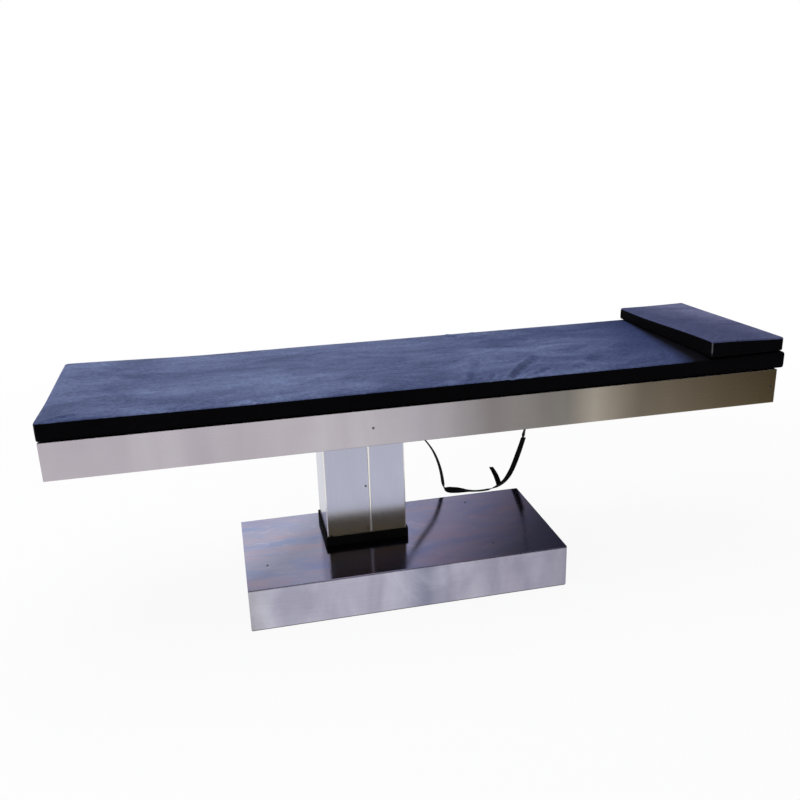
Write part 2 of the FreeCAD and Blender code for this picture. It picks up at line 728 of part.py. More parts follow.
def involute_angle(radius, base_radius):
    """How far the involute has turned from the base circle when it reaches a radius."""
    if radius <= base_radius:
        return 0.0
    slope = math.sqrt((radius / base_radius) ** 2 - 1)
    return slope - math.atan(slope)


FLANK_POINTS = 4


def flank(centre_angle, side, teeth, tip_radius, root_radius):
    """Points of one tooth flank, from the root to the tip."""
    module = d.gear_module.number
    pitch_radius = module * teeth / 2
    base_radius = pitch_radius * math.cos(math.radians(d.pressure_angle.number))
    thickness = math.pi * module / 2 - d.gear_backlash.number / 2
    half_angle = thickness / (2 * pitch_radius) + involute_angle(pitch_radius, base_radius)
    start_radius = max(base_radius, root_radius)
    points = []
    if start_radius > root_radius:
        turn = centre_angle + side * half_angle
        points.append(Vector(root_radius * math.cos(turn), root_radius * math.sin(turn), 0))
    for step in range(FLANK_POINTS):
        radius = start_radius + (tip_radius - start_radius) * step / (FLANK_POINTS - 1)
        turn = centre_angle + side * (half_angle - involute_angle(radius, base_radius))
        points.append(Vector(radius * math.cos(turn), radius * math.sin(turn), 0))
    return points


def chords(points):
    """Short straight edges through a flank's points."""
    return [Part.LineSegment(a, b).toShape() for a, b in zip(points, points[1:])]


def toothed_edges(centre_angles, teeth, tip_radius, root_radius):
    """The outline over a run of teeth, anticlockwise, with flat roots and tips."""
    edges = []
    last = None
    for angle in centre_angles:
        rising = flank(angle, -1, teeth, tip_radius, root_radius)
        falling = flank(angle, 1, teeth, tip_radius, root_radius)
        if last is not None:
            edges += chords([last, rising[0]])
        edges += chords(rising) + chords([rising[-1], falling[-1]])
        edges += chords(falling)
        last = falling[0]
    return edges, last


def pinion_blank():
    """A full pinion, with a gap between teeth straight up at rest."""
    teeth = int(d.pinion_teeth.number)
    root = pinion_radius.number - 1.25 * d.gear_module.number
    tip = pinion_radius.number + d.gear_module.number
    pitch = 2 * math.pi / teeth
    angles = [math.pi / 2 + pitch * (n + 0.5) for n in range(teeth)]
    edges, last = toothed_edges(angles, teeth, tip, root)
    first = flank(angles[0], -1, teeth, tip, root)[0]
    edges += chords([last, first])
    face = Part.Face(Part.Wire(Part.__sortEdges__(edges)))
    return face.extrude(Vector(0, 0, d.gear_width.number))


def sector_blank():
    """A toothed sector that hangs from its hub, with a tooth straight down at rest."""
    teeth = int(d.sector_teeth.number)
    root = sector_radius.number - 1.25 * d.gear_module.number
    tip = sector_radius.number + d.sector_addendum.number
    pitch = 2 * math.pi / teeth
    side = int(math.radians(d.sector_half_angle.number) / pitch)
    angles = [-math.pi / 2 + pitch * n for n in range(-side, side + 1)]
    edges, last = toothed_edges(angles, teeth, tip, root)
    first = flank(angles[0], -1, teeth, tip, root)[0]
    centre = Vector(0, 0, 0)
    edges.append(Part.LineSegment(last, centre).toShape())
    edges.append(Part.LineSegment(centre, first).toShape())
    wedge = Part.Face(Part.Wire(Part.__sortEdges__(edges)))
    width = d.gear_width.number
    blade = wedge.extrude(Vector(0, 0, width))
    hub = Part.makeCylinder(d.sector_hub_radius.number, width)
    bore = Part.makeCylinder(d.trunnion_radius.number + d.bush_clearance.number, width)
    return blade.fuse(hub).cut(bore).removeSplitter()


def gear_place(axis, near, height):
    """The placement that turns a flat gear to face along an axis, its far side outward."""
    if axis == "Y":
        turn = FreeCAD.Matrix(1, 0, 0, 0, 0, 0, -1, 0, 0, 1, 0, 0, 0, 0, 0, 1)
        base = Vector(d.column_place.number, near + d.gear_width.number, height)
    else:
        turn = FreeCAD.Matrix(0, 0, 1, 0, 1, 0, 0, 0, 0, 1, 0, 0, 0, 0, 0, 1)
        base = Vector(near, 0, height)
    place = FreeCAD.Placement(turn)
    place.Base = base
    return place


pitch_gear_start = lug_outer + d.gear_side_gap
roll_gear_start = d.column_place + end_lug_outer


def sector(name, axis, start):
    shape = sector_blank()
    return keep(solid(shape, name, gear_place(axis, start.number, pivot_height.number)), name)


def pinion(name, axis, start, motor_face):
    """A pinion on the output shaft of its gearmotor."""
    gear = solid(pinion_blank(), name + "_gear",
                 gear_place(axis, start.number, pinion_height.number))
    shaft = bore_along(axis, motor_face + d.pinion_shaft_gap,
                       start - motor_face - d.pinion_shaft_gap, d.pinion_shaft_radius,
                       pinion_height)
    return keep(fuse([gear, shaft]), name)


def gimbal_ring():
    """The open ring between the two tilt axes."""
    half = (d.ring_length / 2, d.ring_width / 2)
    low = pivot_height - d.ring_height / 2
    high = pivot_height + d.ring_height / 2
    outer = round_edges(centred_box(half, column, low, high), d.ring_corner_radius, is_upright)
    window = centred_box((half[0] - d.ring_end_wall, half[1] - d.ring_side_wall), column,
                         low - d.cut_margin, high + d.cut_margin)
    pitch_bore = bore_along("Y", -half[1] - d.cut_margin, d.ring_width + d.cut_margin * 2,
                            d.trunnion_radius, pivot_height)
    roll_bore = bore_along("X", d.column_place - half[0] - d.cut_margin,
                           d.ring_length + d.cut_margin * 2, d.trunnion_radius, pivot_height)
    return keep(cut(outer, [window, pitch_bore, roll_bore]), "gimbal_ring")


def trunnions(name, axis, ranges):
    pins = [bore_along(axis, start, end - start, d.trunnion_radius, pivot_height)
            for start, end in ranges]
    return keep(group(pins), name)


def roll_motor_bracket():
    """The plate on the end of the gimbal ring that carries the roll gearmotor."""
    start = d.column_place + d.ring_length / 2
    low = pinion_height - d.gearbox_radius - d.motor_plate_margin
    plate = box((start, -d.motor_plate_half, low),
                (start + d.motor_plate_thickness, d.motor_plate_half,
                 pivot_height + d.motor_plate_rise))
    plate = round_edges(plate, d.motor_plate_margin * 2, runs_along_x)
    pin_bore = bore_along("X", start - d.cut_margin, d.motor_plate_thickness + d.cut_margin * 2,
                          d.trunnion_radius + d.bush_clearance, pivot_height)
    shaft_bore = bore_along("X", start - d.cut_margin, d.motor_plate_thickness + d.cut_margin * 2,
                            d.pinion_shaft_radius + d.pinion_bore_clearance, pinion_height)
    return keep(cut(plate, [pin_bore, shaft_bore]), "roll_motor_bracket")


def runs_along_x(edge):
    if len(edge.Vertexes) != 2:
        return False
    way = edge.Vertexes[1].Point - edge.Vertexes[0].Point
    return abs(way.x) > 1e-6 and math.hypot(way.y, way.z) < 1e-6


# Top


saddle_low = bar_underside - d.saddle_thickness
rail_inner = d.rail_spacing / 2 - d.rail_width / 2


def saddle():
    """The saddle under the top: a windowed plate with two bearing lugs on the gimbal."""
    half = d.saddle_length / 2
    plate = centred_box((half, rail_inner), column, saddle_low, bar_underside)
    window = centred_box((d.saddle_window_length / 2, d.saddle_window_width / 2), column,
                         saddle_low - d.cut_margin, bar_underside + d.cut_margin)
    parts = [cut(plate, [window])]
    for start in (d.column_place - end_lug_outer, d.column_place + d.end_lug_reach):
        parts += lug("X", start, d.end_lug_thickness, d.lug_radius, d.end_lug_top_half,
                     saddle_low + d.cut_margin, "saddle_lug")
    bore = bore_along("X", d.column_place - end_lug_outer - d.cut_margin,
                      end_lug_outer * 2 + d.cut_margin * 2, bush_radius, pivot_height)
    return keep(cut(fuse(parts), [bore]), "saddle")


def table_rail(name, side):
    """A long rectangular tube under the top, open at its ends."""
    half = d.rail_width / 2
    middle = d.rail_spacing / 2 * side
    low = bar_underside - d.rail_height
    end = table_half - d.rail_end_gap
    outside = box((-end, middle - half, low), (end, middle + half, bar_underside))
    wall = d.rail_wall
    hollow = box((-end - d.cut_margin, middle - half + wall, low + wall),
                 (end + d.cut_margin, middle + half - wall, bar_underside - wall))
    return keep(cut(outside, [hollow]), name)


def bar_places():
    return [-table_half + d.end_bar_inset, -d.inner_bar_place, d.column_place,
            d.inner_bar_place / 2, d.inner_bar_place, table_half - d.end_bar_inset]


def cross_bars():
    """Flat bars across the rails, which carry the lips of the skirt and the deck."""
    half = d.cross_bar_width / 2
    bars = [box((place - half, -skirt_inner, bar_underside),
                (place + half, skirt_inner, lip_underside)) for place in bar_places()]
    return keep(group(bars), "cross_bars")


def deck_sheet():
    """The flat sheet that the pad lies on."""
    end = table_half - d.skirt_wall
    return keep(box((-end, -skirt_inner, deck_underside), (end, skirt_inner, skirt_top)),
                "deck_sheet")


def skirt_screw_height():
    return d.skirt_underside + d.skirt_screw_rise


def skirt_screw_places():
    return [d.column_place, table_half - d.skirt_screw_inset]


def long_skirt(name, side):
    """The front or rear skirt: a sheet with a lip under the deck and one at its foot."""
    outer = width_half * side
    wall = d.skirt_wall * side
    top_lip = d.skirt_top_lip * side
    foot_lip = d.skirt_bottom_lip * side
    low = d.skirt_underside
    inner_top = deck_underside
    corners = [(outer, low), (outer, skirt_top), (outer - wall, skirt_top),
               (outer - wall, inner_top), (outer - wall - top_lip, inner_top),
               (outer - wall - top_lip, lip_underside), (outer - wall, lip_underside),
               (outer - wall, low + d.skirt_wall), (outer - wall - foot_lip, low + d.skirt_wall),
               (outer - wall - foot_lip, low)]
    body = profile_body(name + "_sheet", "X", corners, -table_half, d.table_length,
                        bends=[0], radius=d.bend_radius)
    way = "+Y" if side > 0 else "-Y"
    holes = [screw_hole(x, outer, skirt_screw_height(), way) for x in skirt_screw_places()]
    notches = [between((x - d.skirt_wall, outer - wall, low - d.cut_margin),
                       (x + d.skirt_wall, outer - wall - top_lip * 2, skirt_top + d.cut_margin))
               for x in (-table_half, table_half)]
    return keep(cut(body, holes + notches), name)


def end_skirt(name, side):
    """An end skirt between the long ones, with corner tabs and lips cut back there."""
    outer = table_half * side
    wall = d.skirt_wall * side
    low = d.skirt_underside
    web = between((outer, -skirt_inner, low), (outer - wall, skirt_inner, skirt_top))
    lip_reach = skirt_inner - d.skirt_top_lip
    top_lip = between((outer - wall, -lip_reach, lip_underside),
                      (outer - wall - d.skirt_top_lip * side, lip_reach, deck_underside))
    foot_reach = skirt_inner - d.skirt_bottom_lip
    foot_lip = between((outer - wall, -foot_reach, low),
                       (outer - wall - d.skirt_bottom_lip * side, foot_reach,
                        low + d.skirt_wall))
    tab_low = low + (d.skirt_height - d.skirt_tab_height) / 2
    tabs = [between((outer, skirt_inner * edge, tab_low),
                    (outer - wall - d.skirt_tab * side, (skirt_inner - d.skirt_wall) * edge,
                     tab_low + d.skirt_tab_height))
            for edge in (-1, 1)]
    body = fuse([web, top_lip, foot_lip] + tabs)
    if side < 0:
        return keep(body, name)
    place = table_half - d.skirt_screw_inset
    holes = [screw_hole(place, width_half * edge, skirt_screw_height(), way)
             for edge, way in ((-1, "-Y"), (1, "+Y"))]
    return keep(cut(body, holes), name)


def skirt_brackets():
    """Angles under the cross bar at the column, which take the middle skirt screws."""
    half = d.bracket_width / 2
    wall = d.bracket_wall
    reach = d.skirt_top_lip
    made = []
    for side, way in ((-1, "-Y"), (1, "+Y")):
        outer = skirt_inner * side
        corners = [(outer, bar_underside), (outer - reach * side, bar_underside),
                   (outer - reach * side, bar_underside - wall),
                   (outer - wall * side, bar_underside - wall),
                   (outer - wall * side, bar_underside - d.bracket_drop),
                   (outer, bar_underside - d.bracket_drop)]
        angle = profile_body("bracket", "X", corners, d.column_place - half, d.bracket_width)
        hole = screw_hole(d.column_place, width_half * side, skirt_screw_height(), way)
        made.append(cut(angle, [hole], "bracket_cut"))
    return keep(group(made), "skirt_brackets")


def skirt_screws():
    screws = []
    for x in skirt_screw_places():
        for side, way in ((-1, "-Y"), (1, "+Y")):
            screws.append(screw(x, width_half * side, skirt_screw_height(), way,
                                d.skirt_screw_head_radius, d.screw_length))
    return keep(group(screws), "skirt_screws")


# Pad and head cushion


def pad_fastener_strips():
    """Two long hook-and-loop strips between the deck and the pad."""
    end = table_half - d.strip_end_gap
    half = d.strip_width / 2
    strips = [box((-end, place - half, skirt_top), (end, place + half, pad_underside))
              for place in (-d.strip_spacing / 2, d.strip_spacing / 2)]
    return keep(group(strips), "pad_fastener_strips")


def cushion_fastener_strips():
    """Two short strips between the pad and the head cushion."""
    end = table_half + d.pad_head_overhang - d.strip_width / 2
    half = d.strip_width / 2
    strips = [box((end - d.cushion_strip_length, place - half, pad_top),
                  (end, place + half, cushion_underside))
              for place in (-d.strip_spacing / 2, d.strip_spacing / 2)]
    return keep(group(strips), "cushion_fastener_strips")


def soft_block(name, low, high, corner_radius, edge_bevel):
    """A cushion as a plain block with rounded corners and bevelled edges."""
    block = round_edges(box(low, high), corner_radius, is_upright)
    doc.recompute()
    bevelled = doc.addObject("Part::Chamfer", "bevelled")
    bevelled.Base = block
    bevelled.Edges = [(n, edge_bevel.number, edge_bevel.number)
                      for n, edge in enumerate(block.Shape.Edges, start=1)
                      if not is_upright(edge)]
    return keep(bevelled, name)


def table_pad():
    return soft_block("table_pad", (-table_half - d.pad_foot_overhang, -width_half, pad_underside),
                      (table_half + d.pad_head_overhang, width_half, pad_top),
                      d.pad_corner_radius, d.pad_edge_bevel)


def head_cushion():
    end = table_half + d.pad_head_overhang / 2
    return soft_block("head_cushion", (end - d.cushion_length, -width_half, cushion_underside),
                      (end, width_half, cushion_underside + d.cushion_thickness),
                      d.cushion_corner_radius, d.cushion_edge_bevel)


# Restraint strap

# Chosen by hand along the strap: X, and the drop below the deck, in the upright plane at
# strap_place
STRAP_ROUTE = [(-70, 23), (-10, 160), (48, 257), (98, 320), (124, 380), (136, 438),
               (139, 482), (162, 486.5), (205, 493), (254, 503), (300, 503), (340, 490.5),
               (368, 467), (396, 410), (423, 325)]
TAIL_ROUTE = [(337, 488.19), (331, 467), (320, 441), (308, 420)]
LINK_ROUTE = [(425, 320), (460, 23)]
ARC_SHARE = 0.45
strap_place = width_half - d.strap_inset


def hung(place):
    """The point of the strap's plane at an X and a drop below the deck."""
    return Vector(place[0], strap_place.number, deck_underside.number - place[1])


def smooth_path(route):
    """Straight runs joined by tangent arcs as large as the runs allow, and their radii."""
    points = [hung(place) for place in route]
    edges = []
    radii = []
    last = points[0]
    for before, corner, after in zip(points, points[1:], points[2:]):
        to_corner = corner - before
        from_corner = after - corner
        reach = ARC_SHARE * min(to_corner.Length, from_corner.Length)
        turn = to_corner.getAngle(from_corner)
        radii.append(reach / math.tan(turn / 2))
        start = corner - Vector(to_corner).normalize() * reach
        end = corner + Vector(from_corner).normalize() * reach
        bulge = Vector(from_corner).normalize() - Vector(to_corner).normalize()
        centre = corner + bulge.normalize() * (radii[-1] / math.cos(turn / 2))
        middle = centre + (corner - centre).normalize() * radii[-1]
        edges.append(Part.LineSegment(last, start).toShape())
        edges.append(Part.Arc(start, middle, end).toShape())
        last = end
    edges.append(Part.LineSegment(last, points[-1]).toShape())
    return Part.Wire(edges), radii


def webbing(name, route, width):
    """A flat band of webbing along a route, edge on to the front."""
    path, radii = smooth_path(route)
    first = hung(route[0])
    way = (hung(route[1]) - first).normalize()
    across = Vector(0, width.number / 2, 0)
    through = Vector(-way.z, 0, way.x) * (d.strap_thickness.number / 2)
    section = Part.makePolygon([first - across - through, first + across - through,
                                first + across + through, first - across + through,
                                first - across - through])
    band = path.makePipeShell([section], True, False)
    expected = path.Length * width.number * d.strap_thickness.number
    print(name, "length", round(path.Length, 1), "radii", [round(r) for r in radii],
          "volume share", round(band.Volume / expected, 4))
    return keep(solid(band, name), name)


def strap_anchors():
    """Two riveted tabs under the deck, one for the strap and one for its link."""
    made = []
    for x, drop in (STRAP_ROUTE[0], LINK_ROUTE[-1]):
        half = d.anchor_length / 2
        side = d.anchor_width / 2
        plate = box((as_size(x) - half, strap_place - side, deck_underside - d.anchor_thickness),
                    (as_size(x) + half, strap_place + side, deck_underside))
        foot = deck_underside - drop + d.anchor_seat_gap
        tab = box((as_size(x) - d.anchor_thickness, strap_place - side / 2, foot),
                  (as_size(x) + d.anchor_thickness, strap_place + side / 2, deck_underside))
        made.append(fuse([plate, tab], "anchor"))
    return keep(group(made), "strap_anchors")


def strap_link():
    """The thin steel link between the strap's eyelet end and its anchor."""
    start, end = [hung(place) for place in LINK_ROUTE]
    rod = Part.makeCylinder(d.link_radius.number, (end - start).Length, start, end - start)
    return keep(solid(rod, "strap_link"), "strap_link")


def make_base():
    bottom_plate()
    base_frame()
    tie_bars()
    base_standoffs()
    base_top()
    base_top_screws()
    long_base_panel("base_front_panel", base_low[1], 1)
    long_base_panel("base_rear_panel", base_high[1], -1)
    end_base_panel("base_left_panel", base_low[0], 1)
    end_base_panel("base_right_panel", base_high[0], -1)
    mast_foot_plate()
    mast_bolts()
    ballast_blocks()
    control_front = base_low[1] + d.control_box_inset
    battery_rear = base_high[1] - d.battery_inset
    drive_box("control_box", control_front, control_front + d.control_box_width,
              d.control_box_height)
    drive_box("battery_pack", battery_rear - d.battery_width, battery_rear, d.battery_height)


def make_column():
    outer_mast()
    upper_glide()
    lower_glide()
    inner_mast()
    lift_cylinder()
    lift_gland()
    lift_rod()
    dust_sleeve()
    foot_collar()
    column_cover_left()
    column_cover_right()
    column_cover_screws()


def make_head():
    head_yoke()
    bushes("pitch_bushes", "Y", (-lug_outer, d.lug_reach), d.lug_thickness)
    gearmotor("pitch_gearmotor", "Y", d.lug_reach, d.side_motor_length)
    pinion("pitch_pinion", "Y", pitch_gear_start, d.lug_reach)
    gimbal_ring()
    ring_side = d.ring_width / 2 - d.ring_side_wall
    ring_end = d.ring_length / 2 - d.ring_end_wall
    trunnions("pitch_trunnions", "Y",
              [(-lug_outer, -ring_side), (ring_side, pitch_gear_start + d.gear_width)])
    trunnions("roll_trunnions", "X",
              [(d.column_place - end_lug_outer, d.column_place - ring_end),
               (d.column_place + ring_end, d.column_place + end_lug_outer)])
    sector("pitch_sector", "Y", pitch_gear_start)
    roll_motor_bracket()
    gearmotor("roll_gearmotor", "X", d.column_place + d.ring_length / 2, d.end_motor_length)
    pinion("roll_pinion", "X", roll_gear_start, d.column_place + d.ring_length / 2)


def make_top():
    saddle()
    bushes("roll_bushes", "X", (d.column_place - end_lug_outer,
                                d.column_place + d.end_lug_reach), d.end_lug_thickness)
    sector("roll_sector", "X", roll_gear_start)
    table_rail("front_rail", -1)
    table_rail("rear_rail", 1)
    cross_bars()
    deck_sheet()
    long_skirt("front_skirt", -1)
    long_skirt("rear_skirt", 1)
    end_skirt("foot_end_skirt", -1)
    end_skirt("head_end_skirt", 1)
    skirt_brackets()
    skirt_screws()
    pad_fastener_strips()
    table_pad()
    cushion_fastener_strips()
    head_cushion()


def make_strap():
    strap_anchors()
    webbing("restraint_strap", STRAP_ROUTE, d.strap_width)
    webbing("strap_tail", TAIL_ROUTE, d.tail_width)
    strap_link()


def check_and_write():
    """Every object has to be sound before any file is written."""
    doc.recompute()
    for thing in doc.Objects:
        if any(state in ("Invalid", "Error") for state in thing.State):
            raise RuntimeError(f"{thing.Name} ({thing.Label}) failed: {thing.State}")
    for piece in pieces:
        if piece.Shape.isNull() or not piece.Shape.isValid():
            raise RuntimeError(f"{piece.Label} has no valid shape")
    os.makedirs("parts", exist_ok=True)
    for piece in pieces:
        piece.Shape.exportStep(f"parts/{piece.Label}.step")
    print(len(pieces), "sub-parts written")


make_base()
make_column()
make_head()
make_top()
make_strap()
check_and_write()
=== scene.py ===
import json
import math
import bmesh
import bpy
import numpy as np
from mathutils import Matrix, Vector, noise


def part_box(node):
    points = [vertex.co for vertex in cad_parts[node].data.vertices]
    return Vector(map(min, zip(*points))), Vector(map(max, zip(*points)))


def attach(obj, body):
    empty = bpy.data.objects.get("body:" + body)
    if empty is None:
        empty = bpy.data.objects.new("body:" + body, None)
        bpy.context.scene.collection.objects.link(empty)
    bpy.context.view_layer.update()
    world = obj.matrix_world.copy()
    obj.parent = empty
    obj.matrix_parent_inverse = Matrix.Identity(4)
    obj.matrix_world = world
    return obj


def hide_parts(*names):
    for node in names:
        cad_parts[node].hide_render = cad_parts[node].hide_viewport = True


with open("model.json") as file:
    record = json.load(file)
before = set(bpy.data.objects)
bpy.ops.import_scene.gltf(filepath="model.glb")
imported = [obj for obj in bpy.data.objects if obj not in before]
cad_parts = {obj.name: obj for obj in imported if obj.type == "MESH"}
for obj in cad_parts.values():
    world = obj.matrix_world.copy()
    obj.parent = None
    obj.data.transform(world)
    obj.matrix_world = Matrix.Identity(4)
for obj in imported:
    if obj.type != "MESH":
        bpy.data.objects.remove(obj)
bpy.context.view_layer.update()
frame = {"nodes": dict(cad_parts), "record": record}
MM = 0.001


def linear(red, green, blue):
    """The linear colour of a screen colour given from 0 to 255."""
    out = []
    for level in (red, green, blue):
        level = level / 255
        out.append(level / 12.92 if level <= 0.04045 else ((level + 0.055) / 1.055) ** 2.4)
    return (*out, 1.0)


# Camera at the photograph's place
YAW, PITCH, ROLL = math.radians(-12.055), math.radians(18.554), math.radians(-1.775)
forward = Vector((-math.sin(YAW) * math.cos(PITCH), math.cos(YAW) * math.cos(PITCH), -math.sin(PITCH)))
level_right = Vector((math.cos(YAW), math.sin(YAW), 0))
level_up = level_right.cross(forward)
cam_right = level_right * math.cos(ROLL) + level_up * math.sin(ROLL)
cam_up = -level_right * math.sin(ROLL) + level_up * math.cos(ROLL)
cam_data = bpy.data.cameras.new("camera")
cam_data.sensor_width = 36
cam_data.lens = 37.712
cam_data.clip_start, cam_data.clip_end = 0.05, 60
camera = bpy.data.objects.new("camera", cam_data)
turn = Matrix((cam_right, cam_up, -forward)).transposed().to_4x4()
camera.matrix_world = Matrix.Translation((-0.53808, -2.28255, 1.30331)) @ turn
bpy.context.scene.collection.objects.link(camera)
bpy.context.scene.camera = camera


# Material nodes
WHITE = (1.0, 1.0, 1.0, 1.0)
ALONG, ACROSS, UPRIGHT = (8.0, 1300.0, 1300.0), (1300.0, 8.0, 1300.0), (1300.0, 1300.0, 9.0)
SATIN_TONES = linear(200, 198, 204), linear(184, 181, 188)
COVER_TONES = linear(182, 185, 202), linear(172, 172, 190)
PANEL_LIGHT = linear(196, 194, 210)
BLACK_TONES = (0.0015, 0.0015, 0.0018, 1), (0.006, 0.006, 0.007, 1)
# Where the folded strip by the column seam lies, along X and in depth: it takes a painted highlight.
HEM = (-0.1703, -0.1699, -0.1664, -0.1659)
HEM_SIDES = (0.0926, 0.0930)
PAD_SIDE = 0.265


class Nodes:
    """A node material in the making."""

    def __init__(self, name):
        self.material = bpy.data.materials.new(name)
        self.material.use_nodes = True
        self.tree = self.material.node_tree
        self.shader = self.tree.nodes["Principled BSDF"]
        self.place = self.node("ShaderNodeTexCoord").outputs["Object"]

    def node(self, kind, **settings):
        made = self.tree.nodes.new(kind)
        for key, value in settings.items():
            setattr(made, key, value)
        return made

    def link(self, source, target):
        self.tree.links.new(source, target)

    def stretched(self, scale, turn=(0, 0, 0)):
        """The object's coordinates, scaled by axis."""
        mapping = self.node("ShaderNodeMapping")
        mapping.inputs["Scale"].default_value = scale
        mapping.inputs["Rotation"].default_value = turn
        self.link(self.place, mapping.inputs["Vector"])
        return mapping.outputs["Vector"]

    def noise(self, scale, detail=2.0, rough=0.5, distort=0.0, by=None):
        made = self.node("ShaderNodeTexNoise")
        made.inputs["Scale"].default_value = scale
        made.inputs["Detail"].default_value = detail
        made.inputs["Roughness"].default_value = rough
        made.inputs["Distortion"].default_value = distort
        self.link(by or self.place, made.inputs["Vector"])
        return made.outputs["Fac"]

    def cells(self, scale, feature="F1", by=None):
        made = self.node("ShaderNodeTexVoronoi", feature=feature)
        made.inputs["Scale"].default_value = scale
        self.link(by or self.place, made.inputs["Vector"])
        return made.outputs["Distance"]

    def spread(self, value, low, high, to_low, to_high):
        """The value's band from low to high, as the band from to_low to to_high."""
        made = self.node("ShaderNodeMapRange")
        for socket, number in zip(("From Min", "From Max", "To Min", "To Max"), (low, high, to_low, to_high)):
            made.inputs[socket].default_value = number
        self.link(value, made.inputs["Value"])
        return made.outputs["Result"]

    def maths(self, operation, one, two):
        made = self.node("ShaderNodeMath", operation=operation)
        for socket, value in zip(made.inputs, (one, two)):
            if isinstance(value, (int, float)):
                socket.default_value = value
            else:
                self.link(value, socket)
        return made.outputs["Value"]

    def ramp(self, value, *stops):
        """Colours by place along a value."""
        made = self.node("ShaderNodeValToRGB")
        band = made.color_ramp
        while len(band.elements) < len(stops):
            band.elements.new(0.5)
        for element, (where, colour) in zip(band.elements, stops):
            element.position = where
            element.color = colour
        self.link(value, made.inputs["Fac"])
        return made.outputs["Color"]

    def mix(self, share, one, two, blend="MIX"):
        made = self.node("ShaderNodeMix", data_type="RGBA", blend_type=blend)
        pairs = ((made.inputs[0], share), (made.inputs[6], one), (made.inputs[7], two))
        for socket, value in pairs:
            if isinstance(value, (int, float, tuple)):
                socket.default_value = value
            else:
                self.link(value, socket)
        return made.outputs[2]

    def parts(self, vector):
        """A vector's three numbers."""
        split = self.node("ShaderNodeSeparateXYZ")
        self.link(vector, split.inputs["Vector"])
        return split.outputs["X"], split.outputs["Y"], split.outputs["Z"]

    def axes(self):
        """The object's coordinates one by one."""
        return self.parts(self.place)

    def product(self, one, two):
        """How large the product of two numbers is, whatever its sign."""
        return self.maths("ABSOLUTE", self.maths("MULTIPLY", one, two), 0)

    def bump(self, height, strength, distance, under=None):
        made = self.node("ShaderNodeBump")
        made.inputs["Strength"].default_value = strength
        made.inputs["Distance"].default_value = distance
        self.link(height, made.inputs["Height"])
        if under is not None:
            self.link(under, made.inputs["Normal"])
        return made.outputs["Normal"]

    def soft_edge(self, radius):
        """The normal of an edge that is rounded to this radius."""
        made = self.node("ShaderNodeBevel", samples=4)
        made.inputs["Radius"].default_value = radius
        return made.outputs["Normal"]

    def blend(self, share, one, two):
        """A mix of two shaders becomes the surface."""
        made = self.node("ShaderNodeMixShader")
        self.link(share, made.inputs["Fac"])
        self.link(one, made.inputs[1])
        self.link(two, made.inputs[2])
        self.link(made.outputs["Shader"], self.tree.nodes["Material Output"].inputs["Surface"])

    def finish(self, **inputs):
        for key, value in inputs.items():
            socket = self.shader.inputs[key.replace("_", " ")]
            if isinstance(value, (int, float, tuple)):
                socket.default_value = value
            else:
                self.link(value, socket)
        return self.material


def brushed_steel(name, light, shade, grain, rough, bands=(1.0, 1.0, 1.0), stops=None, smears=0.0,
                  streak=0.06, hair=0.08):
    """Stainless sheet with fine brush lines.

    Grain stretches the lines, bands the broad soft changes of tone, stops are tones along X of painted
    reflection and painted shade, smears the share of wiped marks, and hair how strong the lines are.
    """
    n = Nodes(name)
    lines = n.noise(1.0, 4.0, 0.65, by=n.stretched(grain))
    clouds = n.noise(2.6, 3.0, 0.5, 0.4, by=n.stretched(bands))
    colour = n.mix(n.spread(clouds, 0.32, 0.68, 0.0, 1.0), light, shade)
    # Painted reflections and painted shade: the stops' tones along X multiply the colour.
    if stops:
        painted_reflection_tones = n.ramp(n.spread(n.axes()[0], -1.0, 1.0, 0.0, 1.0), *stops)
        colour = n.mix(1.0, colour, painted_reflection_tones, "MULTIPLY")
    darker = n.mix(1.0, colour, (1 - hair, 1 - hair, 1 - hair, 1), "MULTIPLY")
    colour = n.mix(n.spread(lines, 0.35, 0.65, 0.0, 1.0), colour, darker)
    if smears:
        wiped = n.noise(4.5, 4.0, 0.6, 1.2, by=n.stretched((1.0, 1.0, 0.7), (0.0, 0.5, 0.3)))
        polished = tuple(min(1, level * 1.25) for level in light[:3]) + (1,)
        colour = n.mix(n.spread(wiped, 0.52, 0.72, 0.0, smears), colour, polished)
    by_line = n.spread(lines, 0.3, 0.7, rough * (1 - 2.5 * hair), rough * (1 + 2 * hair))
    roughness = n.maths("ADD", by_line, n.spread(clouds, 0.3, 0.7, -0.02, 0.03))
    normal = n.bump(lines, streak, 0.0002, n.soft_edge(0.0012))
    return n.finish(Base_Color=colour, Metallic=1.0, Roughness=roughness, Normal=normal, Anisotropic=0.3)


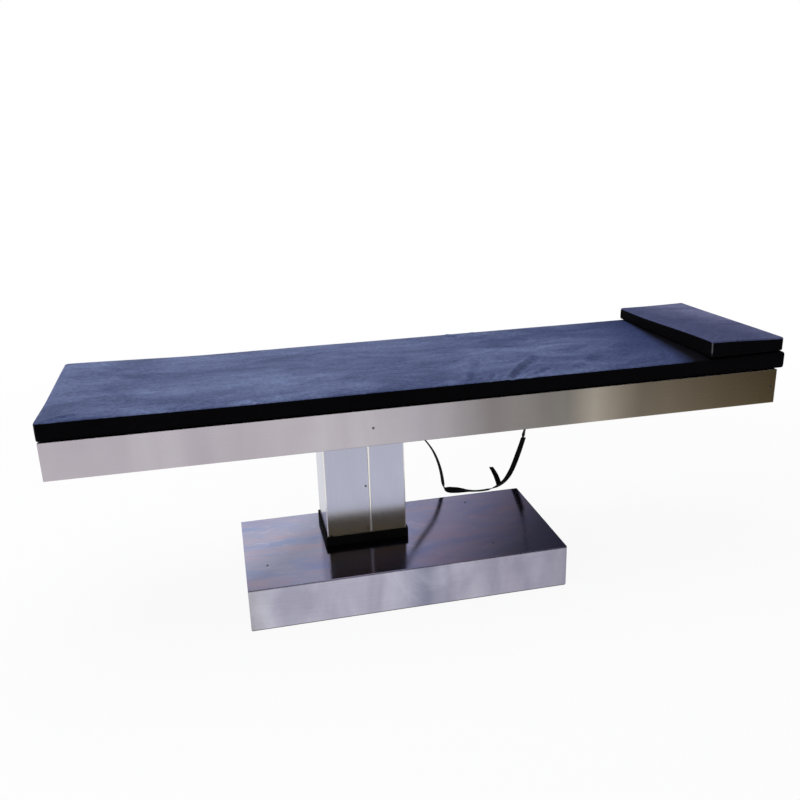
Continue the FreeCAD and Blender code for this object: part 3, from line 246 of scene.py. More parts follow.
def mirror_sheet(name):
    """The polished base top: a painted reflection, darker towards the right front, with pink and blue
    clouds, wipe marks and fine scratches.
    """
    n = Nodes(name)
    fine = n.noise(1.0, 3.0, 0.6, by=n.stretched((6.0, 900.0, 900.0)))
    pink = n.noise(1.0, 5.0, 0.62, 2.0, by=n.stretched((2.2, 9.0, 1.0), (0, 0, 0.10)))
    blue = n.noise(1.0, 5.0, 0.60, 1.6, by=n.stretched((2.6, 6.0, 1.0), (0, 0, -0.16)))
    wiped = n.noise(9.0, 6.0, 0.66, 2.6, by=n.stretched((1.0, 2.4, 1.0), (0, 0, 0.5)))
    x, y = n.axes()[:2]
    painted_reflection_slant = n.maths("SUBTRACT", x, n.maths("MULTIPLY", y, 0.9))
    # Painted reflection: the base colour runs from light to near black across the top.
    base = n.ramp(n.spread(painted_reflection_slant, -0.55, 0.55, 0.0, 1.0),
                  (0.08, (0.35, 0.36, 0.50, 1)), (0.23, (0.22, 0.225, 0.32, 1)),
                  (0.50, (0.24, 0.235, 0.37, 1)), (0.64, (0.19, 0.18, 0.30, 1)),
                  (0.78, (0.125, 0.118, 0.20, 1)), (0.92, (0.062, 0.057, 0.095, 1)))
    base = n.mix(n.spread(pink, 0.43, 0.63, 0.0, 0.8), base, (1.26, 0.98, 0.88, 1), "MULTIPLY")
    base = n.mix(n.spread(blue, 0.45, 0.64, 0.0, 0.8), base, (0.68, 0.86, 1.08, 1), "MULTIPLY")
    base = n.mix(n.spread(wiped, 0.56, 0.74, 0.0, 0.5), base, (1.75, 1.65, 1.55, 1), "MULTIPLY")
    base = n.mix(n.spread(fine, 0.45, 0.75, 0.0, 0.15), base, (0.05, 0.045, 0.06, 1))
    roughness = n.spread(blue, 0.3, 0.7, 0.10, 0.17)
    normal = n.bump(fine, 0.03, 0.0002, n.soft_edge(0.0010))
    return n.finish(Base_Color=base, Metallic=1.0, Roughness=roughness, Normal=normal, Anisotropic=0.2)


def cover_sheet(name):
    """Satin column sheet: brush lines, painted edge highlights and a painted warm reflection above the
    collar.
    """
    n = Nodes(name)
    lines = n.noise(1.0, 4.0, 0.65, by=n.stretched(UPRIGHT))
    clouds = n.noise(2.6, 3.0, 0.5, 0.4, by=n.stretched((1.5, 1.5, 0.8)))
    x, y, height = n.axes()
    # Painted reflection: a warm, darker zone above the collar, from 165 to 230 mm high, fixed to the cover so
    # it rises with it.
    low = n.spread(n.maths("ADD", height, n.spread(clouds, 0.3, 0.7, -0.008, 0.008)), 0.165, 0.230, 1.0, 0.0)
    colour = n.mix(n.spread(clouds, 0.32, 0.68, 0.0, 1.0), *COVER_TONES)
    colour = n.mix(n.spread(lines, 0.35, 0.65, 0.0, 0.25), colour, linear(164, 165, 182))
    edged = n.soft_edge(0.0022)
    sideways, frontal = n.parts(edged)[:2]
    ahead = n.spread(n.maths("ABSOLUTE", frontal, 0), 0.5, 0.9, 0.0, 1.0)
    colour = n.mix(low, colour, n.mix(ahead, (0.40, 0.38, 0.46, 1), (0.52, 0.45, 0.33, 1)))
    # Painted highlight on the folded edges and on the folded strip by the seam.
    corner = n.spread(n.product(sideways, frontal), 0.10, 0.40, 0.0, 1.0)
    folded_strip_highlight = n.maths("MULTIPLY", n.spread(x, *HEM[:2], 0.0, 1.0), n.spread(x, *HEM[2:], 1.0, 0.0))
    folded_strip_highlight = n.maths("MULTIPLY", folded_strip_highlight, n.spread(n.maths("ABSOLUTE", y, 0), *HEM_SIDES, 0.0, 1.0))
    painted_highlight = n.maths("MAXIMUM", corner, folded_strip_highlight)
    colour = n.mix(painted_highlight, colour, (0.97, 0.94, 0.88, 1))
    # The painted reflection zone and the painted highlights also lower the metalness.
    painted_light_share = n.maths("MAXIMUM", low, n.maths("MULTIPLY", painted_highlight, 1.6))
    return n.finish(Base_Color=colour, Metallic=n.spread(painted_light_share, 0.0, 1.6, 0.97, 0.76),
                    Roughness=n.spread(lines, 0.3, 0.7, 0.17, 0.24),
                    Normal=n.bump(lines, 0.05, 0.0002, edged))


def painted(name, colour, rough, grain_scale=900.0, grain=0.12, pale_edge=(0.30, 0.30, 0.31, 1)):
    """Powder coat or moulded plastic: fine orange peel, soft clouds and paler edges."""
    n = Nodes(name)
    peel = n.noise(grain_scale, 2.0, 0.5)
    clouds = n.noise(14.0, 3.0, 0.6)
    edged = n.soft_edge(0.0010)
    tone = tuple(min(1.0, c * 1.35 + 0.01) for c in colour[:3]) + (1.0,)
    base = n.mix(n.spread(clouds, 0.35, 0.7, 0.0, 0.6), colour, tone)
    point = n.node("ShaderNodeNewGeometry").outputs["Pointiness"]
    base = n.mix(n.spread(point, 0.53, 0.60, 0.0, 0.35), base, pale_edge)
    roughness = n.spread(clouds, 0.3, 0.7, rough * 0.85, min(1.0, rough * 1.15))
    return n.finish(Base_Color=base, Metallic=0.0, Roughness=roughness,
                    Normal=n.bump(peel, grain, 0.0003, edged))


def casting(name, colour, rough):
    """A painted sand casting: coarse skin with small pits."""
    n = Nodes(name)
    skin = n.noise(260.0, 5.0, 0.7)
    pits = n.cells(420.0)
    clouds = n.noise(10.0, 3.0, 0.6)
    tone = tuple(c * 0.6 for c in colour[:3]) + (1.0,)
    base = n.mix(n.spread(clouds, 0.3, 0.7, 0.0, 0.8), colour, tone)
    base = n.mix(n.spread(pits, 0.0, 0.25, 0.5, 0.0), base, tone)
    return n.finish(Base_Color=base, Roughness=n.spread(skin, 0.3, 0.7, rough * 0.8, rough * 1.2),
                    Normal=n.bump(skin, 0.35, 0.0006, n.soft_edge(0.0015)))


def turned_metal(name, light, dark, rough, scale=500.0):
    """Turned or ground metal with fine tool marks."""
    n = Nodes(name)
    marks = n.noise(scale, 3.0, 0.7, by=n.stretched((1.0, 1.0, 6.0)))
    clouds = n.noise(18.0, 3.0, 0.6)
    base = n.mix(n.spread(clouds, 0.3, 0.7, 0.0, 1.0), light, dark)
    return n.finish(Base_Color=base, Metallic=1.0,
                    Roughness=n.spread(marks, 0.2, 0.8, rough * 0.7, rough * 1.3),
                    Normal=n.bump(marks, 0.15, 0.0002, n.soft_edge(0.0008)))


def leatherette(name, light, dark, painted_sheen, rough, specular, bloom=None, shadow=None, pale_edge=None):
    """Coated upholstery cloth: pebbled grain over a knit backing, under a dusty film and a painted sheen.

    Bloom is where the dusty film and painted sheen fade along X: start, end, strength at each and lean along
    Y;
    shadow the place and reach of a painted shadow, a dark wedge; the last the colour of painted corner
    highlights.
    """
    n = Nodes(name)
    warp = n.node("ShaderNodeTexNoise")
    warp.inputs["Scale"].default_value = 90.0
    n.link(n.place, warp.inputs["Vector"])
    shaken = n.node("ShaderNodeVectorMath", operation="MULTIPLY_ADD")
    n.link(warp.outputs["Color"], shaken.inputs[0])
    shaken.inputs[1].default_value = (0.004, 0.004, 0.004)
    n.link(n.place, shaken.inputs[2])
    pebbles = n.cells(520.0, "SMOOTH_F1", by=shaken.outputs["Vector"])
    knit = n.noise(170.0, 5.0, 0.80, by=n.stretched((0.5, 1.5, 1.5)))
    mottle = n.noise(42.0, 4.0, 0.7, 0.5, by=n.stretched((0.45, 1.3, 1.0)))
    streaks = n.noise(1.0, 4.0, 0.6, 0.6, by=n.stretched((3.0, 26.0, 8.0)))
    rubs = n.noise(4.2, 5.0, 0.62, 0.8, by=n.stretched((0.8, 2.0, 1.0)))
    colour = n.ramp(n.spread(knit, 0.36, 0.64, 0.0, 1.0), (0.0, dark), (1.0, light))
    colour = n.mix(n.spread(streaks, 0.42, 0.70, 0.0, 0.25), colour, dark)
    # Partly a dusty film, partly a painted sheen: this share mixes in the pale bluish colour, and bloom fades
    # it along X as a painted reflection change.
    dust_and_sheen = n.spread(rubs, 0.36, 0.66, 0.20, 1.0)
    if bloom:
        x, y = n.axes()[:2]
        place = n.maths("ADD", x, n.maths("MULTIPLY", y, bloom[4]))
        dust_and_sheen = n.maths("MULTIPLY", dust_and_sheen, n.spread(place, *bloom[:4]))
    dust_and_sheen = n.maths("MULTIPLY", dust_and_sheen, n.spread(mottle, 0.36, 0.62, 0.62, 1.0))
    colour = n.mix(n.maths("MULTIPLY", dust_and_sheen, n.spread(knit, 0.38, 0.60, 0.42, 1.0)), colour, painted_sheen)
    # Painted shadow: a dark wedge on the pad beside the cushion, wider towards the front.
    if shadow:
        x, y = n.axes()[:2]
        wide = n.maths("MULTIPLY", n.spread(y, -PAD_SIDE, PAD_SIDE, 1.0, 0.12), shadow[1])
        gap = n.maths("SUBTRACT", shadow[0], x)
        near = n.spread(n.maths("DIVIDE", gap, wide), 0.55, 1.25, 1.0, 0.0)
        colour = n.mix(near, colour, (0.0010, 0.0010, 0.0030, 1))
    # Painted highlight: pale upright corners, broken up by noise.
    if pale_edge:
        facing = n.parts(n.node("ShaderNodeNewGeometry").outputs["Normal"])
        corner = n.spread(n.product(*facing[:2]), 0.42, 0.49, 0.0, 1.0)
        corner_highlight_noise = n.spread(n.noise(34.0), 0.46, 0.56, 0.1, 1.0)
        colour = n.mix(n.maths("MULTIPLY", corner, corner_highlight_noise), colour, pale_edge)
    roughness = n.spread(rubs, 0.3, 0.7, rough, rough * 1.2)
    normal = n.bump(pebbles, 0.35, 0.0008)
    normal = n.bump(knit, 0.35, 0.0015, normal)
    return n.finish(Base_Color=colour, Roughness=roughness, Normal=normal, Specular_IOR_Level=specular)


def woven(name, colour, pale):
    """Flat woven webbing: ribs across and along the band by its own map."""
    n = Nodes(name)
    n.place = n.node("ShaderNodeUVMap", uv_map="band").outputs["UV"]
    ribs = []
    for way, scale in (("X", 160.0), ("Y", 190.0)):
        wave = n.node("ShaderNodeTexWave", bands_direction=way)
        wave.inputs["Scale"].default_value = scale
        n.link(n.place, wave.inputs["Vector"])
        ribs.append(wave.outputs["Fac"])
    weave = n.maths("MULTIPLY", *ribs)
    fuzz = n.noise(600.0, 3.0, 0.7)
    base = n.mix(n.spread(weave, 0.2, 0.9, 0.0, 0.6), colour, pale)
    base = n.mix(n.spread(fuzz, 0.5, 0.8, 0.0, 0.4), base, pale)
    return n.finish(Base_Color=base, Roughness=0.85, Normal=n.bump(weave, 0.5, 0.0005),
                    Specular_IOR_Level=0.05)


def napped(name, colour, pale):
    """Hook-and-loop tape."""
    n = Nodes(name)
    loops = n.cells(900.0)
    base = n.mix(n.spread(loops, 0.0, 0.5, 0.0, 1.0), pale, colour)
    return n.finish(Base_Color=base, Roughness=0.95, Normal=n.bump(loops, 0.8, 0.001), Sheen_Weight=0.3)


def rubber(name):
    """Matte moulded rubber with a dusty bloom."""
    n = Nodes(name)
    skin = n.noise(500.0, 3.0, 0.6)
    bloom = n.noise(20.0, 4.0, 0.65)
    base = n.mix(n.spread(bloom, 0.4, 0.75, 0.0, 0.5), *BLACK_TONES)
    return n.finish(Base_Color=base, Roughness=n.spread(bloom, 0.3, 0.7, 0.65, 0.85), Specular_IOR_Level=0.06,
                    Normal=n.bump(skin, 0.25, 0.0004, n.soft_edge(0.0015)))


# Painted reflections and painted shade along X for the front skirt and the front and rear base panels; they
# follow the studio's reflections from one side and stay the same from any other side.
SKIRT_PAINTED_REFLECTIONS = ((0.0, (0.97, 0.95, 0.97, 1)), (0.20, (0.82, 0.79, 0.82, 1)), (0.34, WHITE),
               (0.47, (0.76, 0.75, 0.77, 1)), (0.57, (0.47, 0.46, 0.43, 1)), (0.68, (0.41, 0.41, 0.35, 1)),
               (0.72, (0.74, 0.70, 0.56, 1)), (0.79, (0.38, 0.34, 0.25, 1)), (1.0, (0.27, 0.22, 0.12, 1)))
PANEL_PAINTED_REFLECTIONS = ((0.235, (0.82, 0.83, 0.74, 1)), (0.265, WHITE), (0.42, (0.93, 0.93, 0.93, 1)),
               (0.475, (0.52, 0.54, 0.61, 1)), (0.52, (0.94, 0.93, 0.93, 1)), (0.60, (0.78, 0.76, 0.78, 1)),
               (0.64, (0.84, 0.83, 0.84, 1)), (0.68, (0.60, 0.59, 0.61, 1)))
skirt_steel = brushed_steel("skirt_steel", linear(205, 201, 206), linear(190, 184, 190), ALONG, 0.30,
                            (2.2, 0.6, 0.6), SKIRT_PAINTED_REFLECTIONS, streak=0.03, hair=0.03)
end_steel = brushed_steel("end_steel", *SATIN_TONES, ACROSS, 0.30, hair=0.04)
rear_steel = brushed_steel("rear_steel", *SATIN_TONES, ALONG, 0.30, (2.2, 0.6, 0.6), hair=0.04)
panel_steel = brushed_steel("panel_steel", PANEL_LIGHT, linear(168, 166, 184), ALONG, 0.24,
                            (4.2, 1.0, 1.6), PANEL_PAINTED_REFLECTIONS, smears=0.30)
side_panel_steel = brushed_steel("side_panel_steel", PANEL_LIGHT, linear(170, 168, 186), ACROSS, 0.24,
                                 (1.0, 4.2, 1.6), smears=0.35)
cover_steel = cover_sheet("cover_steel")
sleeve_steel = brushed_steel("sleeve_steel", *COVER_TONES, UPRIGHT, 0.20, hair=0.04)
# The screws' dark metal colour is a painted dark reflection; the screws are stainless.
small_screw = turned_metal("small_screw", (0.16, 0.16, 0.17, 1), (0.08, 0.08, 0.09, 1), 0.18)
mirror_steel = mirror_sheet("mirror_steel")
plated_steel = turned_metal("plated_steel", linear(210, 210, 214), linear(178, 178, 184), 0.22)
frame_coat = painted("frame_coat", (0.035, 0.036, 0.040, 1), 0.45)
cast_coat = casting("cast_coat", (0.11, 0.115, 0.12, 1), 0.55)
ground = turned_metal("ground", linear(190, 190, 194), linear(150, 151, 157), 0.28)
hard_chrome = turned_metal("hard_chrome", linear(222, 224, 228), linear(204, 206, 212), 0.08, 900.0)
bronze = turned_metal("bronze", linear(204, 164, 96), linear(150, 108, 56), 0.30)
glide_nylon = painted("glide_nylon", (0.72, 0.71, 0.66, 1), 0.5, pale_edge=(0.8, 0.8, 0.76, 1))
moulded = painted("moulded", (0.045, 0.046, 0.050, 1), 0.5, 1400.0, 0.2, pale_edge=(0.12, 0.12, 0.13, 1))
motor_coat = painted("motor_coat", (0.018, 0.018, 0.021, 1), 0.35, pale_edge=(0.25, 0.25, 0.26, 1))
black_rubber = rubber("black_rubber_skin")
# The two top coats carry a painted sheen that fades along X, the pad's also a painted shadow beside the
# cushion; the side coat has painted highlights on its upright corners.
top_hide_painted_sheen = leatherette("top_hide_painted_sheen", (0.046, 0.064, 0.165, 1), (0.012, 0.018, 0.060, 1),
                       (0.160, 0.200, 0.360, 1), 0.52, 0.05, (0.44, 0.73, 1.0, 0.0, 0.0), (0.784, 0.075))
cushion_hide_painted_sheen = leatherette("cushion_hide_painted_sheen", (0.060, 0.072, 0.165, 1), (0.022, 0.026, 0.075, 1),
                           (0.150, 0.160, 0.280, 1), 0.52, 0.08, (0.84, 1.02, 0.20, 1.6, 0.35))
side_hide = leatherette("side_hide", (0.0016, 0.0016, 0.0022, 1), (0.0008, 0.0008, 0.0012, 1),
                        (0.003, 0.003, 0.004, 1), 0.70, 0.02, pale_edge=(0.10, 0.10, 0.11, 1))
band_cloth = woven("band_cloth", *BLACK_TONES)
hook_tape = napped("hook_tape", (0.010, 0.010, 0.012, 1), (0.035, 0.035, 0.04, 1))

FINISHES = {
    "brushed_stainless": end_steel, "polished_stainless": mirror_steel, "screw_steel": plated_steel,
    "frame_paint": frame_coat, "cast_iron": cast_coat, "ground_steel": ground, "chrome": hard_chrome,
    "bronze": bronze, "glide_plastic": glide_nylon, "black_rubber": black_rubber,
    "housing_plastic": moulded, "motor_paint": motor_coat, "leatherette": side_hide,
    "hook_and_loop": hook_tape, "webbing": band_cloth,
}
SPECIAL = {
    "front_skirt": skirt_steel, "rear_skirt": rear_steel, "base_front_panel": panel_steel,
    "base_rear_panel": panel_steel, "base_left_panel": side_panel_steel, "base_right_panel": side_panel_steel,
    "column_cover_left": cover_steel, "column_cover_right": cover_steel, "dust_sleeve": sleeve_steel,
    "base_top_screws": small_screw, "column_cover_screws": small_screw, "skirt_screws": small_screw,
}
for part in frame["record"]["subparts"]:
    name = part["node"]
    node = frame["nodes"][name]
    coat = SPECIAL.get(name, FINISHES[part["material_slot"]])
    node.data.materials.clear()
    node.data.materials.append(coat)


# Restraint strap: its route's points are the part source's, in millimetres
STRAP_Y = 228
STRAP_ROUTE = [(-70, 566), (-10, 429), (48, 332), (98, 269), (124, 209), (136, 151), (139, 107),
               (162, 102.5), (205, 96), (254, 86), (300, 86), (340, 98.5), (368, 122),
               (396, 179), (423, 264)]
TAIL_ROUTE = [(337, 100.81), (331, 122), (320, 148), (308, 169)]
STRAP_TURNS = ((0.0, -8), (0.54, -10), (0.572, 12), (0.59, 34), (0.62, 26), (0.66, -6), (0.69, -14),
               (0.74, -15), (0.78, -48), (0.84, -66), (0.93, -68), (1.0, -62))
TAIL_TURNS = ((0.0, 80), (0.5, 60), (1.0, 35))
LOOP_ROUTE = [(422, 261), (419, 276), (428, 290), (426, 302)]
LOOP_TURNS = ((0.0, -50), (1.0, -75))
STRAP_WIDTH, STRAP_THICKNESS = 0.025, 0.0024
TAIL_WIDTH = 0.018
LOOP_WIDTH, LOOP_THICKNESS = 0.010, 0.0030
WEAVE_TILE = 0.025


def spline_points(name, route):
    """Points along the smooth line of a route."""
    line = bpy.data.curves.new(name, "CURVE")
    line.dimensions = "3D"
    line.resolution_u = 16
    spline = line.splines.new("NURBS")
    spline.points.add(len(route) - 1)
    for point, (x, z) in zip(spline.points, route):
        point.co = (x * MM, STRAP_Y * MM, z * MM, 1)
    spline.order_u = 3
    spline.use_endpoint_u = True
    holder = bpy.data.objects.new(name, line)
    bpy.context.scene.collection.objects.link(holder)
    bpy.context.view_layer.update()
    mesh = bpy.data.meshes.new_from_object(holder)
    points = [vertex.co.copy() for vertex in mesh.vertices]
    bpy.data.objects.remove(holder)
    bpy.data.meshes.remove(mesh)
    return points


def add_piece(name, mesh, body, slot, *coats):
    """A finished mesh becomes a piece of the object."""
    piece = bpy.data.objects.new(name, mesh)
    bpy.context.scene.collection.objects.link(piece)
    for coat in coats:
        mesh.materials.append(coat)
    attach(piece, body)
    return piece


def turned_by(turns, share):
    """The band's turn at a share of its length, between the given turns."""
    places = [place for place, angle in turns]
    angles = [angle for place, angle in turns]
    return math.radians(float(np.interp(share, places, angles)))


def band_section(width, thick):
    """A woven band's outline: rounded selvedges and a slightly hollow middle."""
    half, edge = width / 2, thick / 2
    side = [(half, 0), (half - edge * 0.35, edge * 0.8), (half - edge * 1.2, edge), (half * 0.5, edge * 0.8)]
    outline = [(-x, z) for x, z in side] + [(0, edge * 0.72)] + side[::-1]
    under = [(x, -z) for x, z in outline[-2:0:-1]]
    return outline + under


def band(name, route, width, thick, turns):
    """A flat band along a route, turned about it."""
    points = spline_points(name + "_line", route)
    steps = [0.0]
    for before, after in zip(points, points[1:]):
        steps.append(steps[-1] + (after - before).length)
    length = steps[-1]
    outline = band_section(width, thick)
    mesh = bpy.data.meshes.new(name)
    form = bmesh.new()
    band_map = form.loops.layers.uv.new("band")
    rings = []
    for index, point in enumerate(points):
        ahead = points[min(index + 1, len(points) - 1)]
        behind = points[max(index - 1, 0)]
        along = (ahead - behind).normalized()
        share = steps[index] / length
        angle = turned_by(turns, share)
        across = Matrix.Rotation(angle, 3, along) @ Vector((0, 1, 0))
        facing = along.cross(across).normalized()
        lift = 0.5 * MM * noise.noise(Vector((share * 14, 0.3, 0.7)))
        rings.append([form.verts.new(point + across * u + facing * (v + lift)) for u, v in outline])
    count = len(outline)
    for index, (first, second) in enumerate(zip(rings, rings[1:])):
        for side in range(count):
            after = (side + 1) % count
            face = form.faces.new((first[side], first[after], second[after], second[side]))
            face.smooth = True
            spots = ((side, index), (side + 1, index), (side + 1, index + 1), (side, index + 1))
            for loop, (u, v) in zip(face.loops, spots):
                loop[band_map].uv = (u / count * 2 * width / WEAVE_TILE, steps[v] / WEAVE_TILE)
    form.faces.new(list(reversed(rings[0])))
    form.faces.new(rings[-1])
    bmesh.ops.recalc_face_normals(form, faces=form.faces)
    form.to_mesh(mesh)
    form.free()
    return mesh, points, length


strap_mesh, strap_line, strap_length = band("restraint_band", STRAP_ROUTE, STRAP_WIDTH, STRAP_THICKNESS,
                                            STRAP_TURNS)
strap = add_piece("restraint_band", strap_mesh, "tabletop", "webbing", band_cloth)
tail_mesh = band("band_tail", TAIL_ROUTE, TAIL_WIDTH, STRAP_THICKNESS, TAIL_TURNS)[0]
tail = add_piece("band_tail", tail_mesh, "tabletop", "webbing", band_cloth)
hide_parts("restraint_strap")
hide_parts("strap_tail")
loop_mesh = band("band_loop", LOOP_ROUTE, LOOP_WIDTH, LOOP_THICKNESS, LOOP_TURNS)[0]
loop = add_piece("band_loop", loop_mesh, "tabletop", "webbing", band_cloth)


# Cushions: boxed covers over foam, blown up a little by a cloth simulation
CLOTH_STEPS = 20
TOP_LIMIT = 0.0095
TOP_BAND, TOP_FADE = 0.016, 0.010
RIM, RIM_FADE = 0.002, 0.014
SEAM, SEAM_DEPTH = 0.0018, 0.006
CUSHION_TURN = math.radians(1.7)
CUSHION_SHIFT = Vector((0.003, 0, 0))


def boxed_block(name, low, high, corner, inset):
    """A closed block with rounded upright corners, drawn in by an inset."""
    form = bmesh.new()
    x0, y0, x1, y1 = low[0] + inset, low[1] + inset, high[0] - inset, high[1] - inset
    z0, z1 = low[2], high[2] - inset
    outline = []
    for cx, cy, start in ((x1 - corner, y1 - corner, 0), (x0 + corner, y1 - corner, 90),
                          (x0 + corner, y0 + corner, 180), (x1 - corner, y0 + corner, 270)):
        for step in range(7):
            angle = math.radians(start + 15 * step)
            outline.append((cx + corner * math.cos(angle), cy + corner * math.sin(angle)))
    lower = [form.verts.new((x, y, z0)) for x, y in outline]
    upper = [form.verts.new((x, y, z1)) for x, y in outline]
    form.faces.new(list(reversed(lower)))
    form.faces.new(upper)
    for index in range(len(outline)):
        after = (index + 1) % len(outline)
        form.faces.new((lower[index], lower[after], upper[after], upper[index]))
    bmesh.ops.recalc_face_normals(form, faces=form.faces)
    mesh = bpy.data.meshes.new(name)
    form.to_mesh(mesh)
    form.free()
    return mesh


def apply_modifier(block, name):
    with bpy.context.temp_override(object=block, active_object=block, selected_objects=[block]):
        bpy.ops.object.modifier_apply(modifier=name)


def mesh_points(mesh):
    """The mesh's points as rows of numbers."""
    points = np.empty(len(mesh.vertices) * 3)
    mesh.vertices.foreach_get("co", points)
    return points.reshape(-1, 3)


def set_points(mesh, points):
    mesh.vertices.foreach_set("co", points.reshape(-1))
    mesh.update()


def edge_distance(points, low, high):
    """How far inside the box's four upright sides each point lies."""
    x, y = points[:, 0], points[:, 1]
    return np.minimum.reduce((x - low[0], high[0] - x, y - low[1], high[1] - y))


def blown_cushion(name, low, high, corner, voxel, cap, inset, pressure):
    """Remesh, cloth simulation with pressure, and a soft cap on how far each point goes."""
    block = bpy.data.objects.new(name, boxed_block(name, low, high, corner, inset))
    bpy.context.scene.collection.objects.link(block)
    bpy.context.view_layer.objects.active = block
    remesh = block.modifiers.new("voxels", "REMESH")
    remesh.mode = "VOXEL"
    remesh.voxel_size = voxel
    apply_modifier(block, "voxels")
    home = mesh_points(block.data)
    side = edge_distance(home, low, high) - inset
    floor_points = np.flatnonzero(home[:, 2] < low[2] + voxel * 0.6)
    seam_points = np.flatnonzero((side < voxel * 0.9) & (home[:, 2] > high[2] - inset - voxel * 0.9))
    held = block.vertex_groups.new(name="held")
    held.add([int(i) for i in floor_points], 1.0, "REPLACE")
    held.add([int(i) for i in seam_points], 0.92, "REPLACE")
    cloth = block.modifiers.new("cloth", "CLOTH")
    cloth.settings.vertex_group_mass = "held"
    cloth.settings.quality = 4
    cloth.settings.use_pressure = True
    cloth.settings.uniform_pressure_force = pressure
    cloth.settings.effector_weights.gravity = 0
    cloth.settings.bending_stiffness = 0.6
    cloth.collision_settings.use_collision = False
    cloth.collision_settings.use_self_collision = False
    for step in range(1, CLOTH_STEPS + 1):
        bpy.context.scene.frame_set(step)
    apply_modifier(block, "cloth")
    bpy.context.scene.frame_set(1)
    move = mesh_points(block.data) - home
    reach = np.linalg.norm(move, axis=1, keepdims=True)
    share = np.where(reach > 1e-9, cap * np.tanh(reach / cap) / np.maximum(reach, 1e-9), 1.0)
    set_points(block.data, home + move * share)
    finer = block.modifiers.new("finer", "SUBSURF")
    finer.levels = finer.render_levels = 1
    apply_modifier(block, "finer")
    return block


def fold(points, start, end, width, height, lean=0.0):
    """The height of a fold in the cover along a line: a ridge with a dip on its lee side."""
    ax, ay = start
    bx, by = end
    length = math.hypot(bx - ax, by - ay)
    ux, uy = (bx - ax) / length, (by - ay) / length
    along = ((points[:, 0] - ax) * ux + (points[:, 1] - ay) * uy) / length
    across = (points[:, 0] - ax) * uy - (points[:, 1] - ay) * ux
    across = across + lean * length * along * (1 - along)
    taper = np.clip(along * 7, 0, 1) * np.clip((1 - along) * 2.2, 0, 1)
    taper = taper * taper * (3 - 2 * taper)
    spread_wide = width * (0.6 + 0.7 * np.clip(along, 0, 1))
    ridge = np.exp(-(across / spread_wide) ** 2)
    dip = np.exp(-((across - spread_wide * 1.55) / (spread_wide * 0.85)) ** 2)
    return height * taper * (ridge - 0.85 * dip)


def ripple(points, size, seed):
    """Smooth noise over the cover, worked out point by point."""
    return np.array([noise.noise(Vector((x / size, y / size, z / size + seed))) for x, y, z in points])


def swell(points, centre, reach, height):
    """A soft rise of the cover round a place."""
    away = np.hypot((points[:, 0] - centre[0]) / reach[0], (points[:, 1] - centre[1]) / reach[1])
    near = np.clip(1 - away, 0, 1)
    return height * near * near * (3 - 2 * near)


def dress_cover(block, low, high, folds, swells, waves):
    """Listed folds and swells, and soft waves, on the top panel."""
    points = mesh_points(block.data)
    top = np.clip((points[:, 2] - (high[2] - TOP_BAND)) / TOP_FADE, 0, 1)
    flat = np.clip((edge_distance(points, low, high) - RIM) / RIM_FADE, 0, 1)
    rise = np.zeros(len(points))
    for start, end, width, height, lean in folds:
        rise += fold(points, start, end, width, height, lean)
    rise *= 0.25 + 0.75 * flat
    for centre, reach, height in swells:
        rise += swell(points, centre, reach, height)
    slow = ripple(points, 0.16, 3.1)
    quick_waves = ripple(points * (1, 1, 0.4), 0.045, 8.7)
    rise += waves * flat * (slow * 0.9 + quick_waves * 0.35)
    points[:, 2] += rise * top
    points[:, 1] += (slow * 0.0016 + quick_waves * 0.0012) * (1 - top)
    points[:, 2] = np.minimum(points[:, 2], high[2] + TOP_LIMIT)
    set_points(block.data, points)


def split_coats(block, low, high, seam, top_coat, painted_shade_from=None):
    """Cut the cover along its seam; the top panel takes the top coat with its painted sheen, the side band
    the dark side coat, and from a given X on the top takes the dark coat too, as painted shade.
    """
    mesh = block.data
    form = bmesh.new()
    form.from_mesh(mesh)
    for axis in (0, 1):
        for place, way in ((low[axis] + seam, -1), (high[axis] - seam, 1)):
            normal = [0, 0, 0]
            normal[axis] = way
            at = [0, 0, 0]
            at[axis] = place
            bmesh.ops.bisect_plane(form, geom=form.verts[:] + form.edges[:] + form.faces[:], plane_co=at,
                                   plane_no=normal)
    form.to_mesh(mesh)
    form.free()
    mesh.materials.append(top_coat)
    mesh.materials.append(side_hide)
    for polygon in mesh.polygons:
        x, y, z = polygon.center
        inside = low[0] + seam < x < high[0] - seam and low[1] + seam < y < high[1] - seam
        with_painted_sheen = inside and z > high[2] - SEAM_DEPTH and (painted_shade_from is None or x < painted_shade_from)
        polygon.use_smooth = True
        polygon.material_index = 0 if with_painted_sheen else 1


PAD_FOLDS = (
    ((0.178, -0.272), (0.345, -0.060), 0.011, 0.0080, 0.03),
    ((0.232, -0.262), (0.345, -0.190), 0.008, 0.0040, 0.02),
    ((0.372, -0.240), (0.560, -0.050), 0.017, 0.0038, -0.06),
    ((0.070, -0.265), (0.190, 0.010), 0.018, 0.0035, 0.05),
    ((0.130, -0.262), (0.165, -0.200), 0.008, 0.0025, 0.0),
    ((0.150, 0.255), (0.240, 0.150), 0.012, 0.0035, 0.0),
    ((0.235, 0.258), (0.290, 0.100), 0.014, 0.0030, 0.1),
    ((0.330, 0.258), (0.420, 0.030), 0.014, 0.0026, -0.1),
    ((0.030, 0.250), (0.090, 0.140), 0.013, 0.0030, 0.0),
    ((-0.300, 0.255), (-0.240, 0.120), 0.018, 0.0018, 0.0),
    ((-0.690, 0.255), (-0.640, 0.100), 0.018, 0.0018, 0.0),
    ((-0.700, -0.262), (-0.660, -0.200), 0.012, 0.0016, 0.0),
    ((-0.995, -0.262), (-0.900, -0.215), 0.008, 0.0024, 0.0),
    ((0.640, -0.262), (0.700, -0.120), 0.014, 0.0018, 0.0),
)
